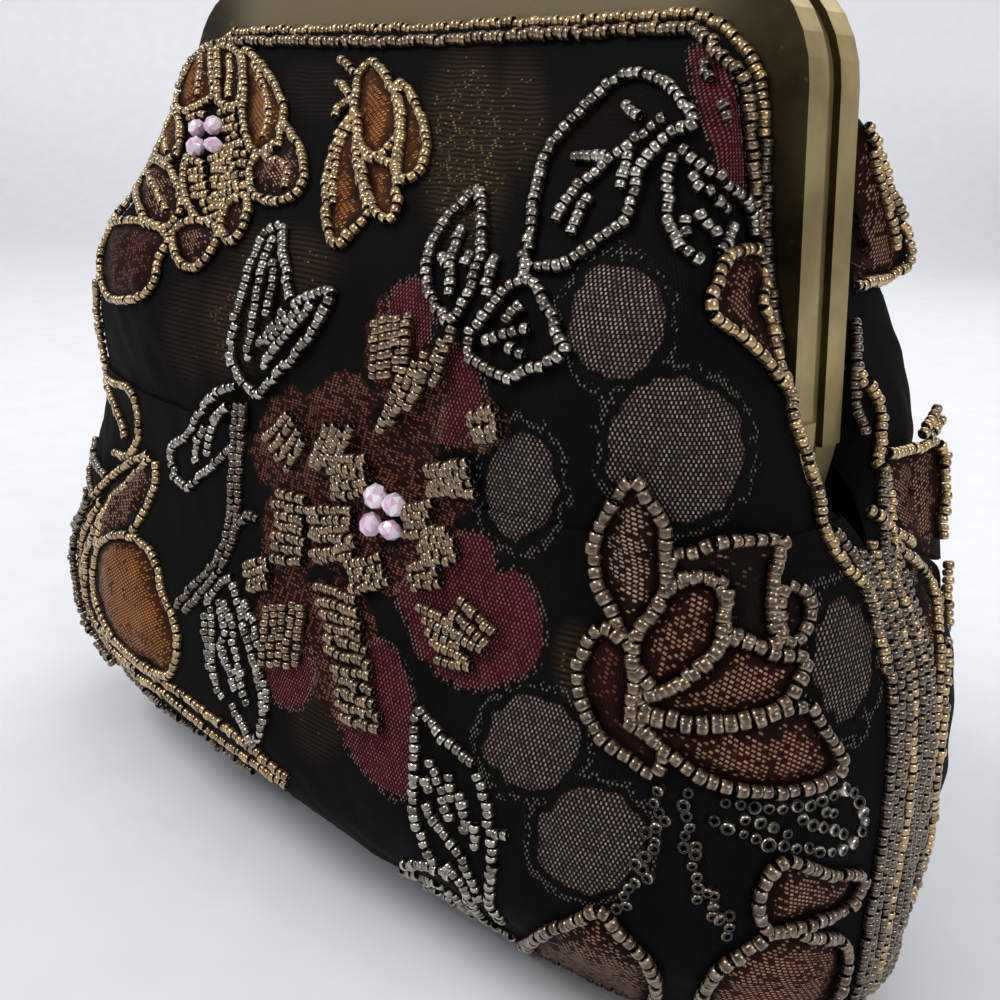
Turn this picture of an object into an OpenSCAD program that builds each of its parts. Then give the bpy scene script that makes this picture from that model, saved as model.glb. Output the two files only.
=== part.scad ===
// Beaded evening bag on a hinged brass frame.
// Millimetres, +Z up. X runs along the frame, the front panel faces -Y.
// The origin is the middle of the base, on the surface that the bag stands on.

/* [Frame] */
// Outer width of the frame at its shoulders
frame_w = 170; // [150:1:190]
// Height of the hinge line above the base
hinge_h = 92.5; // [85:0.5:100]
// Height from the hinge line to the top of the frame
frame_rise = 85; // [78:1:95]
// Width of the brass band seen from the front
band_w = 10.5; // [9:0.5:13]
// Radius of the outer corners of the frame
corner_r = 21; // [17:1:26]
// Outward splay of each leg, in degrees
leg_splay = 4; // [1:0.5:6]
// Depth of one half of the frame
half_depth = 5.6; // [5.2:0.1:7]
// Gap between the two halves, closed by the lip of the rear half
lip_gap = 3.6; // [3:0.1:5]
// Thickness of the brass sheet
sheet = 0.9; // [0.7:0.05:1]
// How far the lip lies inside the outer rim
lip_inset = 1.3; // [1:0.1:2]
// Width of the inner wall that closes the channel
inner_wall_w = 6.5; // [5:0.5:8]

/* [Hinge] */
// Height from the hinge line to the end of each leg
leg_stop = 9; // [8:0.5:11]
// Radius of the round end of each hinge tab
tab_r = 4; // [3.5:0.1:5]
// Radius of the rivet's shank
rivet_r = 1.2; // [1:0.05:1.5]
// Radial clearance between the rivet and its holes
rivet_fit = 0.05; // [0.03:0.01:0.08]
// Radius of the rivet's head
rivet_head_r = 2.6; // [2.2:0.1:3]
// Height of the rivet's head
rivet_head_t = 0.9; // [0.6:0.1:1.2]

/* [Clasp] */
// Radius of each clasp ball
ball_r = 5.5; // [4.5:0.5:6]
// Distance from the middle of the frame to each ball, along X
ball_side = 5.65; // [5.65:0.05:8]
// How far each ball reaches across the parting line
ball_cross = 1.5; // [0.5:0.25:2]
// Height of the neck below the ball
neck_h = 3; // [2:0.5:5]
// Radius of the neck
neck_r = 1.9; // [1.5:0.1:2.2]
// Radius of the pin that holds the knob in the rim
knob_pin_r = 1.1; // [0.8:0.1:1.4]
// Radius of the collar under the neck
collar_r = 2.7; // [2.5:0.1:2.7]
// Thickness of the collar
collar_t = 0.8; // [0.6:0.1:1.2]

/* [Bag] */
// Widest width of the bag
bag_w = 221; // [200:1:240]
// Greatest depth of the stuffed bag, front to rear
bag_d = 108; // [96:1:116]
// How far the cloth puffs out past the legs at the hinge line
puff = 17.5; // [15:0.5:21]
// Thickness of the outer cloth
cloth_t = 1; // [0.8:0.1:1.2]
// Thickness of the soft padding
padding_t = 3.5; // [3:0.1:4]
// Thickness of the lining
lining_t = 0.6; // [0.5:0.05:0.7]
// Thickness of the board in the base
board_t = 2; // [1.5:0.1:3]
// Width of the slip pocket on the rear lining
pocket_w = 100; // [70:1:120]
// Height of the slip pocket
pocket_h = 46; // [30:1:55]
// Diameter of the paper cord crimped in the channel
cord_d = 1.6; // [1.4:0.05:1.6]

/* [Beadwork] */
// Diameter of one seed bead
bead_d = 2.1; // [1.8:0.1:2.4]
// Radius of one faceted crystal
crystal_r = 2.2; // [1.8:0.1:2.6]
// Bead columns in each side band
side_columns = 6; // [4:1:6]

/* [Hidden] */

// Clearance between soft pieces, and between a soft piece and the frame
soft_gap = 0.3;
// Clearance between flat faces of neighbouring frame pieces
face_gap = 0.1;
// Overrun of every cut
cut = 1;
full_turn = 360;
// Half of the angle that each frame half opens, and the wedge kept free for the fold
open_angle = 30;
wedge_margin = 0.5;
upper_wedge = 90 - open_angle - wedge_margin;
fold_wedge = 90 - open_angle + wedge_margin;

// Frame outline
frame_top = hinge_h + frame_rise;
shoulder_h = frame_top - corner_r * 1.31;
corner_z = frame_top - corner_r;
leg_end = hinge_h + leg_stop;
frame_y = lip_gap / 2 + half_depth;
corner_steps = 8;
function leg_x(z, inset) = frame_w / 2 + (shoulder_h - z) * tan(leg_splay) - inset / cos(leg_splay);
corner_x = leg_x(corner_z + corner_r * sin(leg_splay), 0) - corner_r * cos(leg_splay);
inner_top = frame_top - band_w;
open_h = inner_top - hinge_h;
inner_r = corner_r - band_w;
function inner_x(z) =
  z <= corner_z + inner_r * sin(leg_splay)
    ? leg_x(z, band_w)
    : corner_x + sqrt(max(0, inner_r * inner_r - (z - corner_z) * (z - corner_z)));

// Bag profile, as shares. Lower rows: [height, flare, depth]. Upper rows: [height, puff, depth].
lower_shares = [
  [0, 0.5, 0.4], [0.065, 0.87, 0.55], [0.15, 0.97, 0.73], [0.3, 1, 0.98], [0.54, 0.99, 0.99],
  [0.735, 0.84, 0.91], [0.865, 0.47, 0.86], [1, 0, 0.85]
];
upper_shares = [
  [0, 1, 0.85], [0.17, 0.83, 0.84], [0.32, 0.54, 0.8], [0.46, 0.27, 0.69],
  [0.55, 0.08, 0.58], [0.61, 0, 0.51], [0.77, 0, 0.295], [0.89, 0, 0.15], [1, 0, 0]
];
low_power = 3;
high_power = 5;
top_d = frame_y + soft_gap + cloth_t;
brim_d = top_d + soft_gap + cloth_t;
neck_half = inner_x(hinge_h) + puff;
roll_d = puff * 0.28;
seam_open = hinge_h * 0.07;
mouth_rise = leg_stop * 1.35;

function smooth(t) = let (c = min(1, max(0, t))) c * c * (3 - 2 * c);
function row_of(rows, x, i = 0) =
  i >= len(rows) - 2 || x < rows[i + 1][0] ? i : row_of(rows, x, i + 1);
function slope(rows, i, c) =
  let (a = max(0, i - 1), b = min(len(rows) - 1, i + 1))
  (rows[b][c] - rows[a][c]) / (rows[b][0] - rows[a][0]);
function share_at(rows, x, c) =
  let (
    i = row_of(rows, x),
    h = rows[i + 1][0] - rows[i][0],
    t = (x - rows[i][0]) / h,
    t2 = t * t,
    t3 = t2 * t
  )
  (2 * t3 - 3 * t2 + 1) * rows[i][c] + (t3 - 2 * t2 + t) * h * slope(rows, i, c)
    + (3 * t2 - 2 * t3) * rows[i + 1][c] + (t3 - t2) * h * slope(rows, i + 1, c);
function half_w(z) =
  z <= hinge_h
    ? neck_half + (bag_w / 2 - neck_half) * share_at(lower_shares, z / hinge_h, 1)
    : inner_x(z) - soft_gap + (puff + soft_gap) * max(0, share_at(upper_shares, (z - hinge_h) / open_h, 1));
function depth_share(z) =
  z <= hinge_h ? share_at(lower_shares, z / hinge_h, 2) : share_at(upper_shares, (z - hinge_h) / open_h, 2);
function half_d(z) = brim_d + (bag_d / 2 - brim_d) * depth_share(z);

// Outer cloth. The angle a runs from -180 to 180 across the front and rolls back past 90 on
// to the face of the leg; depth is how far the point lies inside the outer face of the cloth.
function mouth_share(z) = smooth((z - hinge_h + seam_open) / (seam_open + mouth_rise - leg_stop / 2));
function roll_share(z) = smooth((z - hinge_h) / mouth_rise);
function edge_y(z, depth) =
  let (k = mouth_share(z))
  soft_gap / 2 + k * (frame_y + soft_gap / 2 + depth * roll_share(z));
function boxy(z) = low_power + (high_power - low_power) * smooth((z - hinge_h) / (open_h * 0.5));
function power_cos(a, z) = pow(abs(cos(a)), 2 / boxy(z));
function power_sin(a, z) = pow(abs(sin(a)), 2 / boxy(z));
function skin(a, z, depth) =
  let (
    w = half_w(z) - depth,
    d = half_d(z) - depth,
    e = edge_y(z, depth),
    r = max(e, min(soft_gap / 2 + mouth_share(z) * (frame_y + roll_d), d - cloth_t)),
    n = w + (min(inner_x(z) - soft_gap - cloth_t * 0.6, w) - w) * roll_share(z),
    b = abs(a) - 90
  )
  abs(a) <= 90
    ? [sign(a) * w * power_sin(a, z), -(r + (d - r) * power_cos(a, z)), z]
    : [sign(a) * (n + (w - n) * cos(b)), -(r - (r - e) * sin(b)), z];

// Inner layers, which stay inside the legs and end at the side line
function core_w(z, depth) =
  let (mouth = inner_x(max(z, hinge_h)) - soft_gap - max(depth, cloth_t + soft_gap))
  z >= hinge_h
    ? mouth
    : half_w(z) - depth - smooth(z / hinge_h * 2.4 - 1.4) * (neck_half - depth - mouth);
function core(a, z, depth, edge) =
  let (w = core_w(z, depth), d = half_d(z) - depth)
  [sign(a) * w * power_sin(a, z), -(edge + (d - edge) * power_cos(a, z)), z];

// Height at which a layer meets a half-plane through the hinge line
function cut_z(a, depth, wedge, z, turns = 7) =
  turns == 0 ? z : cut_z(a, depth, wedge, hinge_h - skin(a, z, depth)[1] / tan(wedge), turns - 1);
function core_cut_z(a, depth, edge, wedge, z, turns = 7) =
  turns == 0 ? z
    : core_cut_z(a, depth, edge, wedge, hinge_h - core(a, z, depth, edge)[1] / tan(wedge), turns - 1);

function flat(rows) = [for (r = rows) for (p = r) p];
function quad(a, b, c, d) = [[a, b, c], [a, c, d]];

// Closed shell between two grids of points that have the same rows and columns
module shell(outer, inner) {
  nr = len(outer);
  nc = len(outer[0]);
  half = nr * nc;
  faces = [
    for (r = [0 : nr - 2]) for (c = [0 : nc - 2])
      for (f = quad(r * nc + c, (r + 1) * nc + c, (r + 1) * nc + c + 1, r * nc + c + 1)) f,
    for (r = [0 : nr - 2]) for (c = [0 : nc - 2])
      for (f = quad(half + r * nc + c, half + r * nc + c + 1, half + (r + 1) * nc + c + 1, half + (r + 1) * nc + c)) f,
    for (r = [0 : nr - 2])
      for (f = quad(r * nc, half + r * nc, half + (r + 1) * nc, (r + 1) * nc)) f,
    for (r = [0 : nr - 2])
      for (f = quad(r * nc + nc - 1, (r + 1) * nc + nc - 1, half + (r + 1) * nc + nc - 1, half + r * nc + nc - 1)) f,
    for (c = [0 : nc - 2])
      for (f = quad(c, c + 1, half + c + 1, half + c)) f,
    for (c = [0 : nc - 2])
      let (t = (nr - 1) * nc + c)
      for (f = quad(t, half + t, half + t + 1, t + 1)) f
  ];
  polyhedron(concat(flat(outer), flat(inner)), faces);
}

// Angles across a panel that give evenly spaced points round the boxy section
function even(t) = t >= 89.9 ? t : atan(pow(tan(t), low_power / 2));
function spread(count, reach) =
  [for (i = [0 : count]) let (s = i / count * 2 - 1) sign(s) * even(reach * abs(s))];
front_angles = spread(24, 90);
padding_reach = 85;
padding_angles = [for (a = front_angles) min(padding_reach, max(-padding_reach, a))];
roll_reach = [115, 145, 179];
roll_angles = concat([for (i = [len(roll_reach) - 1 : -1 : 0]) -roll_reach[i]], front_angles, roll_reach);
fold_angles = concat([-roll_reach[1], -roll_reach[0]], front_angles, [roll_reach[0], roll_reach[1]]);
upper_rows = 6;
fold_rows = 3;

// Heights of the rows of a piece at one angle, between a low and a high limit.
// Each limit is a height, or a wedge angle through the hinge line if it is given as [angle].
function even_rows(count) = [for (i = [0 : count]) i / count];
function skin_limit(a, depth, limit) =
  is_list(limit) ? cut_z(a, depth, limit[0], hinge_h + leg_stop) : limit;
function core_limit(a, depth, edge, limit) =
  is_list(limit) ? core_cut_z(a, depth, edge, limit[0], hinge_h + leg_stop) : limit;

// Piece of outer cloth
module skin_shell(angles, rows, low, high) {
  function grid(depth) = [
    for (t = rows) [
      for (a = angles)
        let (z0 = skin_limit(a, depth, low), z1 = skin_limit(a, depth, high))
        skin(a, z0 + (z1 - z0) * t, depth)
    ]
  ];
  shell(grid(0), grid(cloth_t));
}

// Piece of an inner layer
module core_shell(angles, rows, low, high, depth, thick, edge) {
  function grid(d) = [
    for (t = rows) [
      for (a = angles)
        let (z0 = core_limit(a, d, edge, low), z1 = core_limit(a, d, edge, high))
        core(a, z0 + (z1 - z0) * t, d, edge)
    ]
  ];
  shell(grid(depth), grid(depth + thick));
}

module rear() {
  rotate([0, 0, 180]) children();
}

// Outline of the frame as an upside-down U between two insets from its outer edge
function u_side(inset, low) = concat(
  [[leg_x(low, inset), low]],
  [for (i = [0 : corner_steps])
    let (a = leg_splay + (90 - leg_splay) * i / corner_steps)
    [corner_x + (corner_r - inset) * cos(a), corner_z + (corner_r - inset) * sin(a)]]
);
function mirrored(points) = [for (i = [len(points) - 1 : -1 : 0]) [-points[i][0], points[i][1]]];
function u_path(inset, low) = concat(u_side(inset, low), mirrored(u_side(inset, low)));
function backwards(points) = [for (i = [len(points) - 1 : -1 : 0]) points[i]];

// Band of the frame between two insets, from y_front back to y_rear
module band(inset_a, inset_b, y_front, y_rear, low) {
  translate([0, y_rear, 0])
    rotate([90, 0, 0])
      linear_extrude(y_rear - y_front)
        polygon(concat(u_path(inset_a, low), backwards(u_path(inset_b, low))));
}

// Round rod that follows the frame at one inset
module u_rod(inset, y, r, low) {
  reach = corner_r - inset;
  leg_top = corner_z + reach * sin(leg_splay);
  leg_len = (leg_top - low) / cos(leg_splay);
  for (s = [-1, 1])
    scale_x(s) {
      translate([leg_x(leg_top, inset), y, leg_top])
        rotate([0, 180 - leg_splay, 0])
          cylinder(h = leg_len, r = r, $fn = 24);
      translate([corner_x, y, corner_z])
        rotate([90, 0, 0])
          rotate([0, 0, leg_splay])
            rotate_extrude(angle = 90 - leg_splay, $fn = 48)
              translate([reach, 0])
                circle(r = r, $fn = 16);
      translate([0, y, corner_z + reach])
        rotate([0, 90, 0])
          cylinder(h = corner_x, r = r, $fn = 24);
    }
}

module scale_x(s) {
  if (s < 0)
    mirror([1, 0, 0]) children();
  else
    children();
}

// Hinge tab in the YZ plane for a half whose leg lies at negative Y
tab_t = sheet;
tab_x = leg_x(leg_end, 0) - tab_t / 2;
rear_tab_x = tab_x - tab_t - face_gap;
root_h = leg_stop * 0.55;
leg_y = lip_gap / 2 + face_gap;
module tab_plate(x) {
  for (s = [-1, 1])
    scale_x(s)
      difference() {
        translate([x, 0, 0])
          rotate([90, 0, 90])
            linear_extrude(tab_t)
              union() {
                polygon([
                  [-frame_y, leg_end + root_h],
                  [-leg_y, leg_end + root_h],
                  [-leg_y, leg_end],
                  [tab_r * 0.9, hinge_h + tab_r * 0.44],
                  [-tab_r * 0.96, hinge_h - tab_r * 0.28],
                  [-frame_y, leg_end]
                ]);
                translate([0, hinge_h])
                  circle(r = tab_r, $fn = 48);
              }
        translate([x - cut, 0, hinge_h])
          rotate([0, 90, 0])
            cylinder(h = tab_t + 2 * cut, r = rivet_r + rivet_fit, $fn = 48);
      }
}

// Filler that joins the tab to the inside of the leg
module tab_root(x) {
  root_w = leg_x(leg_end, sheet / 2) - x;
  for (s = [-1, 1])
    scale_x(s)
      translate([x, -frame_y + sheet / 2, leg_end])
        cube([root_w, half_depth - sheet, root_h]);
}

rim_x = ball_side;
knob_y = lip_gap / 2 + half_depth / 2;
module knob_hole(x) {
  translate([x, -knob_y, frame_top - sheet - cut])
    cylinder(h = sheet + 2 * cut, r = knob_pin_r + rivet_fit, $fn = 32);
}

module frame_half(plate_x, hole_x) {
  difference() {
    union() {
      band(0, band_w, -frame_y, -frame_y + sheet, leg_end);
      band(0, sheet, -frame_y, -lip_gap / 2, leg_end);
      band(0, inner_wall_w, -lip_gap / 2 - sheet, -lip_gap / 2, leg_end);
      tab_root(plate_x);
    }
    knob_hole(hole_x);
  }
  tab_plate(plate_x);
}

module front_frame() {
  color("#8a7b52") frame_half(tab_x, rim_x);
}

module rear_frame() {
  color("#8a7b52")
    rear() {
      frame_half(rear_tab_x, rim_x);
      band(lip_inset, lip_inset + sheet, -lip_gap / 2 - sheet / 2, lip_gap / 2 - face_gap, leg_end);
    }
}

// Clasp knob: a ball on a leaning neck, with a collar and a pin through the rim
module clasp_knob() {
  ball_z = frame_top + collar_t + neck_h + ball_r * 0.8;
  lean = atan((knob_y + ball_cross) / (ball_z - frame_top - collar_t));
  neck_len = (ball_z - frame_top - collar_t) / cos(lean);
  translate([rim_x, -knob_y, frame_top])
    cylinder(h = collar_t, r = collar_r, $fn = 40);
  translate([rim_x, -knob_y, frame_top + collar_t / 2])
    rotate([-lean, 0, 0])
      cylinder(h = neck_len, r = neck_r, $fn = 32);
  translate([rim_x, ball_cross, ball_z])
    sphere(r = ball_r, $fn = 48);
  translate([rim_x, -knob_y, frame_top - sheet])
    cylinder(h = sheet + collar_t / 2, r = knob_pin_r, $fn = 32);
}

module front_clasp_knob() {
  color("#9a8a5c") clasp_knob();
}

module rear_clasp_knob() {
  color("#9a8a5c") rear() clasp_knob();
}

// Rivets through both tabs, one each side
module hinge_rivets() {
  inner_face = rear_tab_x - rivet_fit;
  outer_face = tab_x + tab_t + rivet_fit;
  color("#6e5f3c")
    for (s = [-1, 1])
      scale_x(s)
        translate([0, 0, hinge_h])
          rotate([0, 90, 0]) {
            translate([0, 0, inner_face - rivet_head_t / 2])
              cylinder(h = outer_face - inner_face + rivet_head_t, r = rivet_r, $fn = 48);
            translate([0, 0, inner_face - rivet_head_t])
              cylinder(h = rivet_head_t, r = rivet_head_r, $fn = 40);
            translate([0, 0, outer_face])
              cylinder(h = rivet_head_t, r1 = rivet_head_r, r2 = rivet_head_r * 0.6, $fn = 40);
          }
}

// Channel contents, from the front wall back: cloth hem, cord, lining hem
hem_gap = soft_gap / 1.5;
hem_y = frame_y - sheet - hem_gap;
hem_t = cloth_t * 0.8;
cord_y = hem_y - hem_t - hem_gap - cord_d / 2;
lining_y = cord_y - cord_d / 2 - hem_gap;
cord_inset = sheet + hem_gap + cord_d / 2;
hem_inset = cord_inset + cord_d / 2 + hem_gap;
turn_inset = band_w + soft_gap;
lining_depth = top_d - lining_y;
padding_depth = cloth_t + soft_gap;
hem_low = leg_end + root_h + soft_gap;

module channel_cord() {
  u_rod(cord_inset, -cord_y, cord_d / 2, hem_low);
}

module front_channel_cord() {
  color("#c9b48a") channel_cord();
}

module rear_channel_cord() {
  color("#c9b48a") rear() channel_cord();
}

// Outer cloth above the fold, with its turned edge and its hem in the channel
module upper_panel() {
  skin_shell(roll_angles, even_rows(upper_rows), [upper_wedge], inner_top - soft_gap);
  band(turn_inset, turn_inset + cloth_t, -brim_d + cloth_t / 4, -hem_y + hem_t, leg_end);
  band(hem_inset, turn_inset + cloth_t / 2, -hem_y, -hem_y + hem_t, hem_low);
}

module front_upper_panel() {
  color("#141210") upper_panel();
}

module rear_upper_panel() {
  color("#141210") rear() upper_panel();
}

module fold_panel() {
  skin_shell(fold_angles, even_rows(fold_rows), hinge_h + soft_gap, [fold_wedge]);
}

module front_fold() {
  color("#1d1a18") fold_panel();
}

module rear_fold() {
  color("#1d1a18") rear() fold_panel();
}

// Outer cloth below the hinge line
panel_low = cloth_t + soft_gap;
panel_high = hinge_h - soft_gap;
board_low = cloth_t + soft_gap;
inside_low = board_low + board_t + soft_gap;
lower_rows = 7;
inside_share = (inside_low - panel_low) / (panel_high - panel_low);
module lower_panel() {
  skin_shell(
    front_angles, concat([0], [for (t = even_rows(lower_rows)) inside_share + (1 - inside_share) * t]),
    panel_low, panel_high
  );
}

module front_lower_panel() {
  color("#141210") lower_panel();
}

module rear_lower_panel() {
  color("#141210") rear() lower_panel();
}

// Soft padding behind the cloth
padding_edge = lining_y + lining_t;
module upper_padding() {
  core_shell(
    padding_angles, even_rows(upper_rows), [upper_wedge], inner_top - cloth_t - 3 * soft_gap,
    padding_depth, padding_t - soft_gap, padding_edge
  );
}

module lower_padding() {
  core_shell(
    padding_angles, even_rows(lower_rows), inside_low, panel_high,
    padding_depth, padding_t, soft_gap
  );
}

module front_upper_padding() {
  color("#e6e0d4") upper_padding();
}

module rear_upper_padding() {
  color("#e6e0d4") rear() upper_padding();
}

module front_lower_padding() {
  color("#e6e0d4") lower_padding();
}

module rear_lower_padding() {
  color("#e6e0d4") rear() lower_padding();
}

// Lining: a sack below the hinge line, a fold and an upper piece on each half
lining_off = max(lining_depth, padding_depth + padding_t + soft_gap);
module upper_lining() {
  core_shell(
    front_angles, even_rows(upper_rows), [upper_wedge], inner_top - cloth_t - 3 * soft_gap,
    lining_off, lining_t, lining_y - lining_t
  );
}

module lining_fold() {
  core_shell(
    front_angles, even_rows(fold_rows), hinge_h + soft_gap, [fold_wedge],
    lining_off, lining_t, lining_y - lining_t
  );
}

module front_upper_lining() {
  color("#2a2422") upper_lining();
}

module rear_upper_lining() {
  color("#2a2422") rear() upper_lining();
}

module front_lining_fold() {
  color("#2a2422") lining_fold();
}

module rear_lining_fold() {
  color("#2a2422") rear() lining_fold();
}

// Closed ring of an inner layer at height z
function core_ring(z, depth) = concat(
  [for (a = front_angles) core(a, z, depth, soft_gap / 2)],
  [for (a = front_angles) let (p = core(a, z, depth, soft_gap / 2)) [-p[0], -p[1], z]]
);

// Solid stacked from rings of equal length, closed at both ends
module stack(rings) {
  n = len(rings[0]);
  top = len(rings) - 1;
  faces = [
    [for (i = [0 : n - 1]) i],
    for (k = [0 : top - 1]) for (i = [0 : n - 1])
      let (j = (i + 1) % n)
      for (f = quad(k * n + i, (k + 1) * n + i, (k + 1) * n + j, k * n + j)) f,
    [for (i = [n - 1 : -1 : 0]) top * n + i]
  ];
  polyhedron(flat(rings), faces);
}

module lower_lining() {
  rise = panel_high - inside_low;
  outer = [for (i = [0 : lower_rows]) core_ring(inside_low + rise * i / lower_rows, lining_off)];
  inner = [for (i = [lower_rows : -1 : 0])
    core_ring(inside_low + lining_t + (rise - lining_t) * i / lower_rows, lining_off + lining_t)];
  color("#2a2422")
    stack(concat(outer, inner));
}

// Slip pocket sewn to the rear lining
pocket_low = hinge_h * 0.36;
pocket_rows = 4;
module inner_pocket() {
  depth = lining_off + lining_t + 2.5 * soft_gap;
  reach = asin(pow(pocket_w / 2 / core_w(pocket_low, depth), low_power / 2));
  color("#332b28")
    rear()
      core_shell(
        spread(12, reach), even_rows(pocket_rows), pocket_low, pocket_low + pocket_h,
        depth, lining_t, 0
      );
}

// Base cloth and the board above it
base_steps = 80;
function base_outline(inset) =
  [for (i = [0 : base_steps - 1])
    let (t = full_turn * i / base_steps)
    [(half_w(0) - inset) * sign(cos(t)) * power_cos(t, 0), (half_d(0) - inset) * sign(sin(t)) * power_sin(t, 0)]];

module base_panel() {
  color("#141210")
    linear_extrude(cloth_t)
      polygon(base_outline(0));
}

module base_board() {
  color("#9b8f78")
    translate([0, 0, board_low])
      linear_extrude(board_t)
        polygon(base_outline(padding_depth));
}

// Tube through a list of [point, outward normal], round in section with few sides
function unit(v) = v / norm(v);
function tube_ring(p, n, along, r, sides) =
  let (u = unit(n - along * (n * along)), v = cross(along, u))
  [for (k = [0 : sides - 1]) let (t = full_turn * k / sides) p + r * (cos(t) * u + sin(t) * v)];

module tube(stops, r, sides, closed) {
  n = len(stops);
  rings = [
    for (i = [0 : n - 1])
      let (
        a = closed ? (i + n - 1) % n : max(0, i - 1),
        b = closed ? (i + 1) % n : min(n - 1, i + 1)
      )
      tube_ring(stops[i][0], stops[i][1], unit(stops[b][0] - stops[a][0]), r, sides)
  ];
  last = closed ? n - 1 : n - 2;
  faces = [
    for (i = [0 : last]) for (k = [0 : sides - 1])
      let (j = (i + 1) % n, m = (k + 1) % sides)
      for (f = quad(i * sides + k, i * sides + m, j * sides + m, j * sides + k)) f,
    if (!closed) [for (k = [sides - 1 : -1 : 0]) k],
    if (!closed) [for (k = [0 : sides - 1]) (n - 1) * sides + k]
  ];
  polyhedron(flat(rings), faces);
}

bead_r = bead_d / 2;
tube_sides = 6;
loop_sides = 5;

// Bead rope round the edge of the base
module base_bead_piping() {
  steps = 56;
  lift = bead_r + soft_gap;
  height = panel_low + bead_r / 2;
  color("#241d18")
    tube(
      [for (i = [0 : steps - 1])
        let (t = full_turn * i / steps, c = sign(cos(t)) * power_cos(t, 0), s = sign(sin(t)) * power_sin(t, 0))
        [[(half_w(height) + lift) * c, (half_d(height) + lift) * s, height], [0, 0, 1]]],
      bead_r, loop_sides, true
    );
}

// Columns of beads along each side seam
side_low = bead_d * 3;
side_high = hinge_h - seam_open;
side_rings = 12;
module side_beads() {
  for (k = [0 : side_columns - 1])
    let (y = (k - (side_columns - 1) / 2) * bead_d * 1.02)
    tube(
      [for (i = [0 : side_rings])
        let (
          z = side_low + (side_high - side_low) * i / side_rings,
          x = half_w(z) * pow(1 - pow(abs(y) / half_d(z), boxy(z)), 1 / boxy(z))
        )
        [[x + bead_r + soft_gap, y, z], [1, 0, 0]]],
      bead_r, loop_sides, false
    );
}

module right_side_beads() {
  color("#5e4d35") side_beads();
}

module left_side_beads() {
  color("#5e4d35") mirror([1, 0, 0]) side_beads();
}

// Two bead rows along the inner edge of the frame
module frame_beads() {
  first_y = frame_y + soft_gap + bead_r;
  row_inset = band_w + bead_d * 0.6;
  band_row_z = frame_top - row_inset;
  row_y = half_d(band_row_z) + soft_gap + bead_r;
  u_rod(band_w - bead_d * 0.55, -first_y, bead_r, hinge_h + open_h * 0.62);
  translate([-corner_x * 0.98, -row_y, band_row_z])
    rotate([0, 90, 0])
      cylinder(h = corner_x * 1.96, r = bead_r, $fn = 24);
}

module front_frame_beads() {
  color("#6d5a3a") frame_beads();
}

module rear_frame_beads() {
  color("#6d5a3a") rear() frame_beads();
}

// Point on the front cloth at x and z, lifted along its normal
function cloth_y(x, z) =
  let (
    w = half_w(z),
    d = half_d(z),
    r = max(edge_y(z, 0), min(soft_gap / 2 + mouth_share(z) * (frame_y + roll_d), d - cloth_t))
  )
  -(r + (d - r) * pow(max(0, 1 - pow(min(1, abs(x) / w), boxy(z))), 1 / boxy(z)));
probe = bead_d / 4;
function cloth_normal(x, z) =
  let (
    gx = (cloth_y(x + probe, z) - cloth_y(x - probe, z)) / (2 * probe),
    gz = (cloth_y(x, z + probe) - cloth_y(x, z - probe)) / (2 * probe)
  )
  unit([gx, -1, gz]);
function on_cloth(x, z, lift) =
  let (n = cloth_normal(x, z))
  [[x, cloth_y(x, z), z] + lift * n, n];

// Bead lines of the motifs. Each outline is closed and goes through points on the front cloth.
bead_lift = bead_r + soft_gap;
rose_lift = bead_lift + soft_gap;
crystal_step = crystal_r * 1.08;
half = bag_w / 2;
top_half = frame_w / 2;
module outline(points, across, low, rise, lift = bead_lift) {
  tube(
    [for (p = points) on_cloth(p[0] * across, low + p[1] * rise, lift)],
    bead_r, loop_sides, true
  );
}

module lower_outlines(shares, lift = bead_lift) {
  for (points = shares)
    outline(points, half, 0, hinge_h, lift);
}

module upper_outlines(shares) {
  for (points = shares)
    outline(points, top_half, hinge_h, open_h);
}

// Points of the outlines below the hinge line, as shares of half the bag width and of the hinge height
rose_outline_shares = [
  [
    [0.745, 0.97], [0.733, 0.97], [0.724, 0.97], [0.702, 0.967], [0.707, 0.939], [0.718, 0.914],
    [0.731, 0.89], [0.743, 0.866], [0.742, 0.873], [0.749, 0.897], [0.751, 0.923], [0.747, 0.95]
  ],
  [
    [0.764, 0.833], [0.768, 0.868], [0.777, 0.901], [0.793, 0.925], [0.812, 0.934], [0.828, 0.908],
    [0.834, 0.871], [0.836, 0.837], [0.826, 0.81], [0.81, 0.785], [0.789, 0.769], [0.77, 0.796]
  ],
  [
    [0.785, 0.707], [0.826, 0.675], [0.866, 0.646], [0.903, 0.629], [0.936, 0.624], [0.959, 0.626],
    [0.964, 0.655], [0.95, 0.708], [0.931, 0.737], [0.905, 0.723], [0.869, 0.711], [0.827, 0.709]
  ],
  [
    [0.88, 0.92], [0.882, 0.911], [0.891, 0.896], [0.9, 0.876], [0.903, 0.859], [0.904, 0.848],
    [0.905, 0.851], [0.896, 0.87], [0.889, 0.891], [0.884, 0.91]
  ],
  [
    [0.964, 0.398], [0.964, 0.422], [0.964, 0.436], [0.964, 0.456], [0.959, 0.474], [0.952, 0.455],
    [0.949, 0.412], [0.954, 0.371], [0.963, 0.36], [0.964, 0.358], [0.964, 0.355], [0.964, 0.362]
  ],
  [
    [0.547, 0.073], [0.579, 0.119], [0.614, 0.169], [0.651, 0.22], [0.693, 0.272], [0.741, 0.321],
    [0.79, 0.323], [0.817, 0.267], [0.813, 0.203], [0.793, 0.142], [0.765, 0.086], [0.717, 0.07],
    [0.659, 0.07], [0.604, 0.07]
  ]
];

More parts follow.
